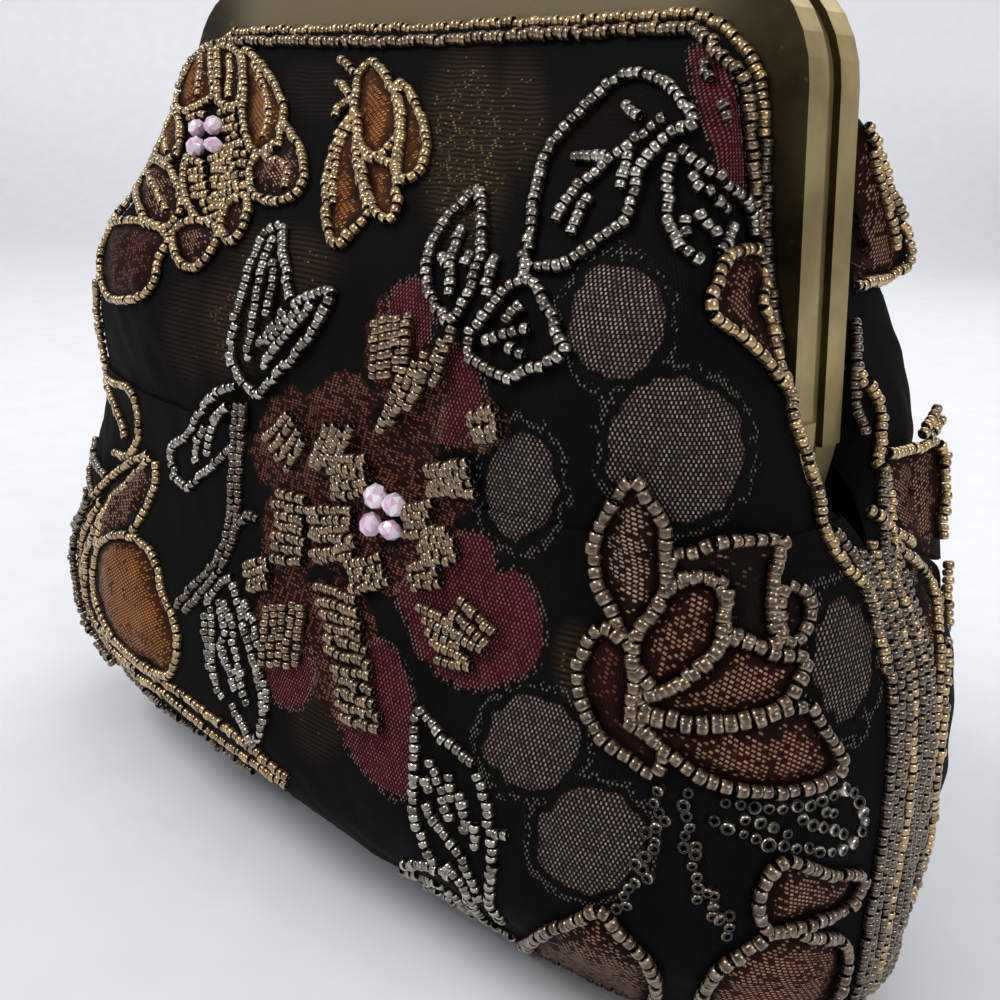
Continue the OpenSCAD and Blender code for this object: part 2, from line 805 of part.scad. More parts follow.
petal_outline_shares = [
  [
    [-0.585, 0.565], [-0.525, 0.61], [-0.457, 0.635], [-0.387, 0.643], [-0.321, 0.617], [-0.27, 0.558],
    [-0.228, 0.492], [-0.244, 0.412], [-0.307, 0.376], [-0.378, 0.368], [-0.448, 0.368],
    [-0.518, 0.383], [-0.582, 0.417], [-0.613, 0.489]
  ],
  [
    [-0.406, 0.829], [-0.386, 0.788], [-0.409, 0.734], [-0.445, 0.689], [-0.492, 0.663],
    [-0.538, 0.635], [-0.586, 0.612], [-0.636, 0.606], [-0.663, 0.623], [-0.626, 0.667],
    [-0.586, 0.706], [-0.543, 0.741], [-0.498, 0.773], [-0.454, 0.805]
  ]
];

leaf_outline_shares = [
  [
    [0.455, 0.598], [0.456, 0.533], [0.461, 0.468], [0.467, 0.402], [0.488, 0.343], [0.526, 0.298],
    [0.575, 0.298], [0.597, 0.356], [0.595, 0.422], [0.581, 0.485], [0.554, 0.542], [0.504, 0.569]
  ],
  [
    [0.895, 0.58], [0.923, 0.579], [0.95, 0.574], [0.964, 0.576], [0.964, 0.58], [0.964, 0.548],
    [0.964, 0.499], [0.964, 0.482], [0.964, 0.49], [0.963, 0.51], [0.944, 0.532], [0.916, 0.552]
  ],
  [
    [-0.105, 0.616], [-0.096, 0.556], [-0.078, 0.497], [-0.055, 0.441], [-0.015, 0.402],
    [0.034, 0.381], [0.065, 0.422], [0.055, 0.483], [0.032, 0.539], [0.004, 0.591], [-0.026, 0.641],
    [-0.071, 0.659]
  ]
];

flower_outline_shares = [
  [
    [0.198, 0.742], [0.237, 0.76], [0.278, 0.745], [0.308, 0.708], [0.333, 0.666], [0.354, 0.621],
    [0.356, 0.573], [0.319, 0.548], [0.28, 0.567], [0.253, 0.607], [0.229, 0.65], [0.206, 0.694]
  ],
  [
    [0.419, 0.782], [0.45, 0.794], [0.483, 0.798], [0.516, 0.799], [0.548, 0.793], [0.541, 0.766],
    [0.513, 0.745], [0.482, 0.733], [0.45, 0.73], [0.42, 0.747]
  ],
  [
    [0.066, 0.548], [0.059, 0.584], [0.058, 0.621], [0.061, 0.657], [0.081, 0.684], [0.111, 0.693],
    [0.139, 0.68], [0.153, 0.647], [0.16, 0.611], [0.152, 0.577], [0.125, 0.56], [0.095, 0.547]
  ],
  [
    [0.058, 0.893], [0.091, 0.905], [0.125, 0.904], [0.141, 0.873], [0.132, 0.834], [0.11, 0.804],
    [0.082, 0.781], [0.051, 0.787], [0.034, 0.821], [0.038, 0.861]
  ],
  [
    [0.168, 0.878], [0.188, 0.891], [0.21, 0.899], [0.233, 0.905], [0.237, 0.888], [0.235, 0.861],
    [0.22, 0.841], [0.199, 0.832], [0.176, 0.828], [0.166, 0.852]
  ],
  [
    [0.403, 0.902], [0.422, 0.922], [0.445, 0.938], [0.468, 0.94], [0.475, 0.91], [0.463, 0.883],
    [0.443, 0.863], [0.421, 0.847], [0.396, 0.847], [0.39, 0.875]
  ]
];

// Points of the outlines above the fold, as shares of half the frame width and of the opening height
upper_flower_outline_shares = [
  [
    [-0.83, 0.913], [-0.844, 0.885], [-0.842, 0.841], [-0.836, 0.8], [-0.804, 0.785], [-0.762, 0.786],
    [-0.721, 0.799], [-0.681, 0.816], [-0.697, 0.844], [-0.728, 0.872], [-0.758, 0.901], [-0.792, 0.913]
  ],
  [
    [-0.272, 0.736], [-0.226, 0.714], [-0.182, 0.69], [-0.141, 0.662], [-0.106, 0.629], [-0.1, 0.591],
    [-0.147, 0.575], [-0.198, 0.577], [-0.246, 0.594], [-0.284, 0.625], [-0.294, 0.661], [-0.258, 0.694]
  ],
  [
    [-0.808, 0.607], [-0.814, 0.558], [-0.766, 0.543], [-0.712, 0.524], [-0.657, 0.503],
    [-0.598, 0.488], [-0.537, 0.486], [-0.534, 0.515], [-0.581, 0.549], [-0.635, 0.576],
    [-0.692, 0.594], [-0.751, 0.603]
  ],
  [
    [-0.865, 0.412], [-0.865, 0.358], [-0.813, 0.37], [-0.754, 0.382], [-0.693, 0.39], [-0.631, 0.394],
    [-0.569, 0.396], [-0.508, 0.391], [-0.507, 0.426], [-0.564, 0.446], [-0.625, 0.452],
    [-0.687, 0.454], [-0.749, 0.45], [-0.81, 0.441]
  ],
  [
    [-0.465, 0.458], [-0.443, 0.426], [-0.407, 0.402], [-0.365, 0.39], [-0.323, 0.398], [-0.3, 0.433],
    [-0.302, 0.47], [-0.343, 0.481], [-0.387, 0.484], [-0.43, 0.479]
  ]
];

upper_leaf_outline_shares = [
  [
    [-0.037, 0.767], [-0.04, 0.714], [-0.019, 0.665], [0.013, 0.616], [0.054, 0.572], [0.094, 0.529],
    [0.148, 0.51], [0.169, 0.56], [0.13, 0.601], [0.084, 0.639], [0.043, 0.682], [0.002, 0.725]
  ],
  [
    [-0.073, 0.877], [-0.033, 0.853], [0.007, 0.83], [0.043, 0.802], [0.076, 0.771], [0.102, 0.738],
    [0.106, 0.723], [0.064, 0.741], [0.026, 0.763], [-0.008, 0.794], [-0.034, 0.828], [-0.058, 0.865]
  ],
  [
    [0.833, 0.797], [0.781, 0.845], [0.714, 0.868], [0.651, 0.844], [0.614, 0.789], [0.598, 0.727],
    [0.609, 0.666], [0.634, 0.604], [0.658, 0.541], [0.717, 0.517], [0.765, 0.554], [0.787, 0.611],
    [0.795, 0.676], [0.802, 0.742]
  ],
  [
    [0.849, 0.723], [0.857, 0.682], [0.869, 0.635], [0.886, 0.588], [0.909, 0.549], [0.911, 0.527],
    [0.901, 0.531], [0.893, 0.55], [0.878, 0.596], [0.871, 0.647], [0.868, 0.687], [0.864, 0.709]
  ],
  [
    [0.469, 0.621], [0.441, 0.588], [0.428, 0.547], [0.434, 0.504], [0.455, 0.464], [0.488, 0.429],
    [0.527, 0.4], [0.558, 0.417], [0.559, 0.464], [0.543, 0.506], [0.52, 0.545], [0.497, 0.586]
  ],
  [
    [0.682, 0.461], [0.654, 0.439], [0.637, 0.405], [0.617, 0.38], [0.644, 0.388], [0.683, 0.387],
    [0.721, 0.382], [0.758, 0.375], [0.792, 0.365], [0.774, 0.389], [0.747, 0.419], [0.717, 0.447]
  ],
  [
    [-0.078, 0.501], [-0.101, 0.475], [-0.103, 0.435], [-0.101, 0.393], [-0.107, 0.402],
    [-0.075, 0.407], [-0.034, 0.405], [0.007, 0.398], [0.029, 0.384], [0.002, 0.413], [-0.015, 0.452],
    [-0.045, 0.478]
  ]
];

// Places of the crystals, as the outlines' points
upper_crystal_share = [-0.608, 0.711];
lower_crystal_share = [0.306, 0.931];
function upper_z(share) = hinge_h + share * open_h;

module front_rose_beads() {
  color("#7a5f3f") lower_outlines(rose_outline_shares, rose_lift);
}

module front_flower_beads() {
  color("#8d7347") lower_outlines(flower_outline_shares);
}

module front_leaf_beads() {
  color("#8f8d86") lower_outlines(leaf_outline_shares);
}

module front_petal_beads() {
  color("#7a5f3f") lower_outlines(petal_outline_shares);
}

module front_upper_flower_beads() {
  color("#8d7347") upper_outlines(upper_flower_outline_shares);
}

module front_upper_leaf_beads() {
  color("#8f8d86") upper_outlines(upper_leaf_outline_shares);
}

module rear_lower_beads() {
  color("#7a5f3f")
    rear() {
      lower_outlines(rose_outline_shares, rose_lift);
      lower_outlines(flower_outline_shares);
      lower_outlines(leaf_outline_shares);
      lower_outlines(petal_outline_shares);
    }
}

module rear_upper_beads() {
  color("#8f8d86")
    rear() {
      upper_outlines(upper_flower_outline_shares);
      upper_outlines(upper_leaf_outline_shares);
    }
}

// Cluster of four crystals sewn to the cloth
module crystals(x, z) {
  for (i = [-1, 1])
    for (j = [-1, 1])
      let (p = on_cloth(x + i * crystal_step, z + j * crystal_step, crystal_r + soft_gap))
      translate(p[0])
        sphere(r = crystal_r, $fn = 16);
}

module front_upper_crystals() {
  color("#cdb6cf") crystals(upper_crystal_share[0] * top_half, upper_z(upper_crystal_share[1]));
}

module front_lower_crystals() {
  color("#cdb6cf") crystals(lower_crystal_share[0] * half, lower_crystal_share[1] * hinge_h);
}

module rear_upper_crystals() {
  color("#cdb6cf") rear() crystals(upper_crystal_share[0] * top_half, upper_z(upper_crystal_share[1]));
}

module rear_lower_crystals() {
  color("#cdb6cf") rear() crystals(lower_crystal_share[0] * half, lower_crystal_share[1] * hinge_h);
}

front_frame();
rear_frame();
front_clasp_knob();
rear_clasp_knob();
hinge_rivets();
front_channel_cord();
rear_channel_cord();
front_upper_panel();
rear_upper_panel();
front_fold();
rear_fold();
front_lower_panel();
rear_lower_panel();
front_upper_padding();
rear_upper_padding();
front_lower_padding();
rear_lower_padding();
front_upper_lining();
rear_upper_lining();
front_lining_fold();
rear_lining_fold();
lower_lining();
inner_pocket();
base_panel();
base_board();
base_bead_piping();
left_side_beads();
right_side_beads();
front_frame_beads();
rear_frame_beads();
front_rose_beads();
front_flower_beads();
front_leaf_beads();
front_petal_beads();
front_upper_flower_beads();
front_upper_leaf_beads();
rear_lower_beads();
rear_upper_beads();
front_upper_crystals();
front_lower_crystals();
rear_upper_crystals();
rear_lower_crystals();
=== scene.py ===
import math
from contextlib import contextmanager
import bpy
import bmesh
import numpy as np
from mathutils import Matrix, Vector
from mathutils.bvhtree import BVHTree
from mathutils.geometry import delaunay_2d_cdt


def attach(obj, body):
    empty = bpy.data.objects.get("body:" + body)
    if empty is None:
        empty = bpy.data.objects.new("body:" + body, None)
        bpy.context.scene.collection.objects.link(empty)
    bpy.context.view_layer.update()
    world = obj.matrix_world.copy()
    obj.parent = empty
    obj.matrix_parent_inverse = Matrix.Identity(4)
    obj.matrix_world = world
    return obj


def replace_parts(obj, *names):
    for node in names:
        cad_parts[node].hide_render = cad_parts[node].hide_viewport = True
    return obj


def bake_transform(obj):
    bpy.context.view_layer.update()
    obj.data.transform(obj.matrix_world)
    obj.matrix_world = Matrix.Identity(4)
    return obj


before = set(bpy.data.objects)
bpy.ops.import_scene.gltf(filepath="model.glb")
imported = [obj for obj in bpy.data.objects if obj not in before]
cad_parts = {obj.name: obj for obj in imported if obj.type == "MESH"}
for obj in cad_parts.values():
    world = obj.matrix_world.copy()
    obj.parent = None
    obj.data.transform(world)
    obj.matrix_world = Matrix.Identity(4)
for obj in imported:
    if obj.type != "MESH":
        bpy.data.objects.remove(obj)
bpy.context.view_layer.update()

# Beaded evening bag on a hinged brass frame. Lengths are worked out in millimetres and
# handed to Blender in metres. X runs along the frame and the front panel faces -Y.
MM = 0.001
rng = np.random.default_rng(7)

# Camera of the photograph, in millimetres, degrees and pixels of a 1000 x 1000 image
EYE = np.array([185.39, -172.42, 152.44])
AZIMUTH, ELEVATION, ROLL = 44.5, 17.84, 1.93
FOCAL_PX, CENTRE_PX, IMAGE_PX, SENSOR = 1201.83, 500.0, 1000.0, 36.0


def camera_axes():
    a, e, r = (math.radians(v) for v in (AZIMUTH, ELEVATION, ROLL))
    forward = np.array([-math.sin(a) * math.cos(e), math.cos(a) * math.cos(e), -math.sin(e)])
    right = np.array([math.cos(a), math.sin(a), 0.0])
    up = np.cross(right, forward)
    return forward, right * math.cos(r) + up * math.sin(r), up * math.cos(r) - right * math.sin(r)


FORWARD, RIGHT, UP = camera_axes()


def make_camera():
    data = bpy.data.cameras.new("photo_camera")
    data.sensor_fit = "HORIZONTAL"
    data.sensor_width = SENSOR
    data.lens = SENSOR * FOCAL_PX / IMAGE_PX
    data.clip_start, data.clip_end = 0.01, 20
    obj = bpy.data.objects.new("photo_camera", data)
    m = Matrix.Identity(4)
    for row in range(3):
        m[row][0], m[row][1], m[row][2] = RIGHT[row], UP[row], -FORWARD[row]
        m[row][3] = EYE[row] * MM
    obj.matrix_world = m
    bpy.context.scene.collection.objects.link(obj)
    bpy.context.scene.camera = obj


make_camera()


def to_px(points):
    d = np.asarray(points, float) - EYE
    depth = d @ FORWARD
    return np.stack([CENTRE_PX + FOCAL_PX * (d @ RIGHT) / depth,
                     CENTRE_PX - FOCAL_PX * (d @ UP) / depth], axis=-1)


def px_ray(p):
    d = FORWARD + RIGHT * (p[0] - CENTRE_PX) / FOCAL_PX + UP * (CENTRE_PX - p[1]) / FOCAL_PX
    return d / np.linalg.norm(d)


# Sizes of the bag, the same values as in the part
frame_w, hinge_h, frame_rise, band_w, corner_r = 170.0, 92.5, 85.0, 10.5, 21.0
splay = math.radians(4.0)
half_depth, lip_gap, sheet_t = 5.6, 3.6, 0.9
leg_stop, bag_w, bag_d, puff = 9.0, 221.0, 108.0, 17.5
cloth_t, padding_t, lining_t, board_t = 1.0, 3.5, 0.6, 2.0
pocket_w, pocket_h = 100.0, 46.0
bead_d, crystal_r = 2.1, 2.2
soft_gap = 0.3

frame_top = hinge_h + frame_rise
shoulder_h = frame_top - corner_r * 1.31
corner_z = frame_top - corner_r
frame_y = lip_gap / 2 + half_depth
inner_top = frame_top - band_w
open_h = inner_top - hinge_h
inner_r = corner_r - band_w
bead_r = bead_d / 2


def leg_x(z, inset):
    return frame_w / 2 + (shoulder_h - z) * math.tan(splay) - inset / math.cos(splay)


corner_x = leg_x(corner_z + corner_r * math.sin(splay), 0) - corner_r * math.cos(splay)


def inner_x(z):
    z = np.asarray(z, float)
    arc = corner_x + np.sqrt(np.maximum(0, inner_r ** 2 - (z - corner_z) ** 2))
    return np.where(z <= corner_z + inner_r * math.sin(splay), leg_x(z, band_w), arc)


lower_shares = np.array([
    [0, 0.5, 0.4], [0.065, 0.87, 0.55], [0.15, 0.97, 0.73], [0.3, 1, 0.98], [0.54, 0.99, 0.99],
    [0.735, 0.84, 0.91], [0.865, 0.47, 0.86], [1, 0, 0.85]])
upper_shares = np.array([
    [0, 1, 0.85], [0.17, 0.83, 0.84], [0.32, 0.54, 0.8], [0.46, 0.27, 0.69],
    [0.55, 0.08, 0.58], [0.61, 0, 0.51], [0.77, 0, 0.295], [0.89, 0, 0.15], [1, 0, 0]])
low_power, high_power = 3.0, 5.0
top_d = frame_y + soft_gap + cloth_t
brim_d = top_d + soft_gap + cloth_t
neck_half = float(inner_x(hinge_h)) + puff
roll_d = puff * 0.28
seam_open = hinge_h * 0.07
mouth_rise = leg_stop * 1.35


def smooth(t):
    c = np.clip(t, 0, 1)
    return c * c * (3 - 2 * c)


def share_at(rows, x, c):
    x = np.asarray(x, float)
    xs, ys = rows[:, 0], rows[:, c]
    low = np.maximum(np.arange(len(xs)) - 1, 0)
    high = np.minimum(np.arange(len(xs)) + 1, len(xs) - 1)
    slopes = (ys[high] - ys[low]) / (xs[high] - xs[low])
    i = np.clip(np.searchsorted(xs, x, side="right") - 1, 0, len(xs) - 2)
    h = xs[i + 1] - xs[i]
    t = (x - xs[i]) / h
    return ((2 * t ** 3 - 3 * t ** 2 + 1) * ys[i] + (t ** 3 - 2 * t ** 2 + t) * h * slopes[i]
            + (3 * t ** 2 - 2 * t ** 3) * ys[i + 1] + (t ** 3 - t ** 2) * h * slopes[i + 1])


def half_w(z):
    z = np.asarray(z, float)
    low = neck_half + (bag_w / 2 - neck_half) * share_at(lower_shares, np.clip(z / hinge_h, 0, 1), 1)
    lift = np.maximum(0, share_at(upper_shares, np.clip((z - hinge_h) / open_h, 0, 1), 1))
    return np.where(z <= hinge_h, low, inner_x(z) - soft_gap + (puff + soft_gap) * lift)


def half_d(z):
    z = np.asarray(z, float)
    share = np.where(z <= hinge_h, share_at(lower_shares, np.clip(z / hinge_h, 0, 1), 2),
                     share_at(upper_shares, np.clip((z - hinge_h) / open_h, 0, 1), 2))
    return brim_d + (bag_d / 2 - brim_d) * share


def mouth_share(z):
    return smooth((z - hinge_h + seam_open) / (seam_open + mouth_rise - leg_stop / 2))


def roll_share(z):
    return smooth((z - hinge_h) / mouth_rise)


def boxy(z):
    return low_power + (high_power - low_power) * smooth((z - hinge_h) / (open_h * 0.5))


def skin(a, z, depth):
    """Outer cloth of the front: a runs from -180 to 180 degrees and rolls back past 90."""
    a, z = np.broadcast_arrays(np.asarray(a, float), np.asarray(z, float))
    w, d = half_w(z) - depth, half_d(z) - depth
    k = mouth_share(z)
    e = soft_gap / 2 + k * (frame_y + soft_gap / 2 + depth * roll_share(z))
    r = np.maximum(e, np.minimum(soft_gap / 2 + k * (frame_y + roll_d), d - cloth_t))
    n = w + (np.minimum(inner_x(z) - soft_gap - cloth_t * 0.6, w) - w) * roll_share(z)
    t, s, p = np.radians(np.abs(a)), np.sign(a), 2 / boxy(z)
    back = np.abs(a) > 90
    b = np.maximum(t - math.pi / 2, 0)
    x = np.where(back, n + (w - n) * np.cos(b), w * np.abs(np.sin(t)) ** p)
    y = np.where(back, r - (r - e) * np.sin(b), r + (d - r) * np.abs(np.cos(t)) ** p)
    return np.stack([s * x, -y, z], axis=-1)


def core(a, z, depth, edge):
    """Inner layers of the front, which end inside the legs."""
    a, z = np.broadcast_arrays(np.asarray(a, float), np.asarray(z, float))
    mouth = inner_x(np.maximum(z, hinge_h)) - soft_gap - max(depth, cloth_t + soft_gap)
    low = half_w(z) - depth - smooth(z / hinge_h * 2.4 - 1.4) * (neck_half - depth - mouth)
    w, d = np.where(z >= hinge_h, mouth, low), half_d(z) - depth
    t, p = np.radians(np.abs(a)), 2 / boxy(z)
    x = np.sign(a) * w * np.abs(np.sin(t)) ** p
    return np.stack([x, -(edge + (d - edge) * np.abs(np.cos(t)) ** p), z], axis=-1)


def even(t):
    """Angles that give evenly spaced points round the section."""
    t = np.asarray(t, float)
    bent = np.degrees(np.arctan(np.tan(np.radians(np.minimum(np.abs(t), 89.9))) ** (low_power / 2)))
    return np.sign(t) * np.where(np.abs(t) >= 89.9, np.abs(t), bent)


def wander(u, v, seed, waves=14, low=14.0, high=60.0):
    """Smooth seeded unevenness of about unit size over a plane in millimetres."""
    r = np.random.default_rng(seed)
    total = np.zeros(np.broadcast(u, v).shape)
    for _ in range(waves):
        length, turn, phase = r.uniform(low, high), r.uniform(0, 2 * math.pi), r.uniform(0, 2 * math.pi)
        total += np.sin((u * math.cos(turn) + v * math.sin(turn)) * 2 * math.pi / length + phase)
    return total / math.sqrt(waves / 2)


def run_along(p, axis):
    """Lengths along rows or columns of points, from 0."""
    return np.insert(np.cumsum(np.linalg.norm(np.diff(p, axis=axis), axis=-1), axis=axis), 0, 0, axis=axis)


# Meshes from arrays
def make_mesh(name, verts, faces, uv=None, values=None, smooth_shade=True):
    """verts in millimetres; faces is an (n, 3) or (n, 4) array; uv per vertex in millimetres."""
    verts = np.asarray(verts, float).reshape(-1, 3)
    faces = np.asarray(faces, np.int32)
    sides = faces.shape[1]
    me = bpy.data.meshes.new(name)
    me.vertices.add(len(verts))
    me.vertices.foreach_set("co", (verts * MM).astype(np.float32).ravel())
    me.loops.add(faces.size)
    me.loops.foreach_set("vertex_index", faces.ravel())
    me.polygons.add(len(faces))
    me.polygons.foreach_set("loop_start", np.arange(0, faces.size, sides, dtype=np.int32))
    if uv is not None:
        layer = me.uv_layers.new(name="UVMap")
        layer.data.foreach_set("uv", (np.asarray(uv, float)[faces.ravel()] * MM).astype(np.float32).ravel())
    for key, data in (values or {}).items():
        item = me.attributes.new(key, "FLOAT", "POINT")
        item.data.foreach_set("value", np.asarray(data, np.float32).ravel())
    me.update(calc_edges=True)
    me.validate()
    if smooth_shade:
        me.shade_smooth()
    else:
        me.shade_flat()
    obj = bpy.data.objects.new(name, me)
    bpy.context.scene.collection.objects.link(obj)
    return obj


def grid_faces(rows, cols, closed=False):
    r, c = np.meshgrid(np.arange(rows - 1), np.arange(cols if closed else cols - 1), indexing="ij")
    n = (c + 1) % cols
    return np.stack([r * cols + c, (r + 1) * cols + c, (r + 1) * cols + n, r * cols + n], -1).reshape(-1, 4)


@contextmanager
def mesh_edit(obj):
    bm = bmesh.new()
    bm.from_mesh(obj.data)
    yield bm
    bm.to_mesh(obj.data)
    bm.free()


def weld(obj):
    with mesh_edit(obj) as bm:
        bmesh.ops.remove_doubles(bm, verts=bm.verts, dist=0.02 * MM)
        bmesh.ops.dissolve_degenerate(bm, dist=0.01 * MM, edges=bm.edges)
    obj.data.shade_smooth()


def facing_out(faces, verts, side):
    """The faces of a front or rear sheet, turned to look away from the inside."""
    a, b, _, d = verts[faces[len(faces) // 2]]
    return faces[:, ::-1] if np.cross(b - a, d - a)[1] * (1 if side == "rear" else -1) < 0 else faces


def thicken(obj, amount):
    m = obj.modifiers.new("thickness", "SOLIDIFY")
    m.thickness, m.offset = amount * MM, -1.0
    m.use_even_offset = False


# Procedural materials
def colour(seen):
    """Colour of the shader from values of 0 to 255 as they look on a screen."""
    return (*(((v / 255 + 0.055) / 1.055) ** 2.4 if v > 10.3 else v / 255 / 12.92 for v in seen), 1.0)


class Net:
    def __init__(self, name):
        self.mat = bpy.data.materials.new(name)
        self.mat.use_nodes = True
        self.tree = self.mat.node_tree
        self.tree.nodes.clear()
        self.out = self.add("ShaderNodeOutputMaterial")
        self.bsdf = self.add("ShaderNodeBsdfPrincipled")
        self.tree.links.new(self.bsdf.outputs[0], self.out.inputs[0])

    def add(self, kind, inputs=None, **props):
        node = self.tree.nodes.new(kind)
        for key, value in props.items():
            setattr(node, key, value)
        for key, value in (inputs or {}).items():
            self.put(node.inputs[key], value)
        return node

    def put(self, socket, value):
        if isinstance(value, bpy.types.NodeSocket):
            self.tree.links.new(value, socket)
        else:
            socket.default_value = value

    def set(self, **values):
        for key, value in values.items():
            self.put(self.bsdf.inputs[key.replace("_", " ")], value)

    def math(self, op, a, b=0.0, c=0.0, clamp=False):
        return self.add("ShaderNodeMath", {0: a, 1: b, 2: c}, operation=op, use_clamp=clamp).outputs[0]

    def mul(self, a, b):
        return self.math("MULTIPLY", a, b)

    def plus(self, a, b, clamp=False):
        return self.math("ADD", a, b, clamp=clamp)

    def minus(self, a, b):
        return self.math("SUBTRACT", a, b)

    def line(self, x, slope, start):
        return self.math("MULTIPLY_ADD", x, slope, start)

    def mix(self, factor, a, b):
        """Blend of two colours, each from a node or as it looks on a screen."""
        sockets = {0: factor, **{k: colour(v) if isinstance(v, tuple) else v for k, v in ((6, a), (7, b))}}
        return self.add("ShaderNodeMix", sockets, data_type="RGBA").outputs[2]

    def attr(self, name):
        return self.add("ShaderNodeAttribute", attribute_name=name).outputs["Fac"]

    def step(self, value, low, high):
        return self.add("ShaderNodeMapRange", {"Value": value, "From Min": low, "From Max": high},
                        interpolation_type="SMOOTHSTEP").outputs[0]

    def noise(self, vector, scale, detail=2.0, rough=0.5):
        values = {"Vector": vector, "Scale": scale, "Detail": detail, "Roughness": rough}
        return self.add("ShaderNodeTexNoise", values).outputs["Fac"]

    def uv(self, turn=0.0):
        """Flat coordinates of the cloth in millimetres, turned by an angle in degrees."""
        base = self.add("ShaderNodeUVMap", uv_map="UVMap").outputs[0]
        node = self.add("ShaderNodeMapping", {"Vector": base, "Scale": (1 / MM, 1 / MM, 1),
                                              "Rotation": (0, 0, math.radians(turn))})
        split = self.add("ShaderNodeSeparateXYZ", {0: node.outputs[0]})
        return node.outputs[0], split.outputs[0], split.outputs[1]

    def bump(self, height, distance, strength):
        node = self.add("ShaderNodeBump", {"Height": height, "Distance": distance * MM, "Strength": strength})
        self.put(self.bsdf.inputs["Normal"], node.outputs[0])

    def wave(self, x, pitch):
        """Ripple from 0 to 1 with the given pitch in millimetres."""
        return self.line(self.math("SINE", self.mul(x, 2 * math.pi / pitch)), 0.5, 0.5)

    def dashes(self, u, v, pitch_u, pitch_v, fill, shift=0.5, thick=0.42):
        """Woven floats: short dashes along u in rows of v, alternate rows shifted."""
        row = self.math("DIVIDE", v, pitch_v)
        odd = self.math("FLOOR", row)
        col = self.plus(self.math("DIVIDE", u, pitch_u), self.mul(odd, shift))
        fu, fv = self.math("FRACT", col), self.math("FRACT", row)
        du = self.math("ABSOLUTE", self.minus(fu, 0.5))
        dv = self.math("ABSOLUTE", self.minus(fv, 0.5))
        on = self.mul(self.step(du, fill / 2 + 0.06, fill / 2 - 0.06), self.step(dv, thick, thick - 0.18))
        cell = self.add("ShaderNodeCombineXYZ", {0: self.math("FLOOR", col), 1: odd})
        luck = self.add("ShaderNodeTexWhiteNoise", {0: cell.outputs[0]}, noise_dimensions="2D").outputs[0]
        return on, luck


def brocade():
    n = Net("black_brocade")
    flat, u, v = n.uv()
    large = n.noise(flat, 0.05, 3)
    fine = n.noise(flat, 1.6, 2)
    twill = n.wave(n.plus(u, n.mul(v, 0.55)), 0.62)
    ribs = n.wave(v, 0.5)
    ground = n.mix(large, (4, 4, 5), (12, 11, 10))
    ground = n.mix(n.mul(twill, 0.5), ground, (19, 17, 15))
    thread = n.mul(n.step(fine, 0.62, 0.74), 0.2)
    ground = n.mix(thread, ground, (44, 38, 28))

    # Gold lurex floats in the brushed areas
    lurex = n.attr("lurex")
    on, luck = n.dashes(u, v, 0.95, 0.5, 0.5)
    chance = n.minus(n.mul(lurex, 0.5), n.mul(n.noise(flat, 0.16, 3), 0.5))
    gold_on = n.mul(on, n.step(n.minus(chance, luck), 0.0, 0.06))
    haze = n.mul(n.step(lurex, 0.1, 0.9), 0.7)
    weft = n.mix(n.wave(v, 1.0), (26, 20, 15), (58, 46, 34))
    ground = n.mix(haze, ground, weft)
    col = n.mix(gold_on, ground, n.mix(n.noise(flat, 0.8), (62, 48, 30), (128, 102, 64)))

    # Dark red-brown petals of the middle flower
    brown = n.attr("brown")
    spot, spot_luck = n.dashes(u, v, 0.76, 0.66, 0.36)
    slant_on, slant_luck = n.dashes(n.plus(u, n.mul(v, 0.6)), v, 0.95, 0.52, 0.55)
    earth = n.mix(n.noise(flat, 0.2, 3), (20, 10, 10), (50, 24, 21))
    earth = n.mix(n.mul(twill, 0.4), earth, (18, 10, 9))
    slant = n.mul(slant_on, n.step(slant_luck, 0.35, 0.47))
    earth = n.mix(slant, earth, n.mix(slant_luck, (78, 40, 34), (124, 78, 64)))
    col = n.mix(n.step(brown, -0.3, 0.5), col, earth)

    # Round dotted motifs with a sparse ring
    dots = n.attr("dots")
    inside = n.step(dots, -0.15, 0.35)
    ring = n.mul(n.step(dots, -2.3, -2.0), n.step(dots, -1.1, -1.4))
    ring_on = n.mul(n.mul(ring, spot), n.step(spot_luck, 0.3, 0.34))
    body = n.mix(n.noise(flat, 0.35, 3), (18, 12, 12), (36, 25, 23))
    body = n.mix(n.mul(twill, 0.4), body, (20, 15, 14))
    silver = n.mix(spot_luck, (88, 78, 72), (156, 144, 134))
    col = n.mix(inside, col, body)
    col = n.mix(n.mul(inside, spot), col, silver)
    col = n.mix(ring_on, col, (100, 94, 86))

    # Wine-red woven petals with a stitched rim
    wine = n.attr("wine")
    red_in = n.step(wine, -0.1, 0.3)
    red = n.mix(n.noise(flat, 0.22, 3), (32, 8, 12), (68, 18, 26))
    red = n.mix(n.mul(twill, 0.35), red, (26, 8, 11))
    red = n.mix(spot, red, n.mix(spot_luck, (84, 38, 42), (134, 82, 82)))
    col = n.mix(red_in, col, red)
    rim = n.mul(n.step(wine, -0.9, -0.5), n.step(wine, 0.5, 0.1))
    rim_on = n.mul(rim, n.mul(spot, n.step(spot_luck, 0.3, 0.4)))
    col = n.mix(rim_on, col, (128, 94, 88))

    shine = n.plus(gold_on, n.mul(inside, spot), clamp=True)
    n.set(Base_Color=col, Metallic=n.mul(shine, 0.6),
          Roughness=n.line(shine, -0.2, 0.72), Specular_IOR_Level=0.03)
    height = n.plus(n.mul(twill, 0.5), n.mul(ribs, 0.3))
    raised = n.plus(n.plus(shine, red_in, clamp=True), n.step(brown, -0.3, 0.5), clamp=True)
    height = n.plus(height, n.mul(raised, 0.6))
    n.bump(n.plus(height, n.mul(fine, 0.7)), 0.09, 0.7)
    return n.mat


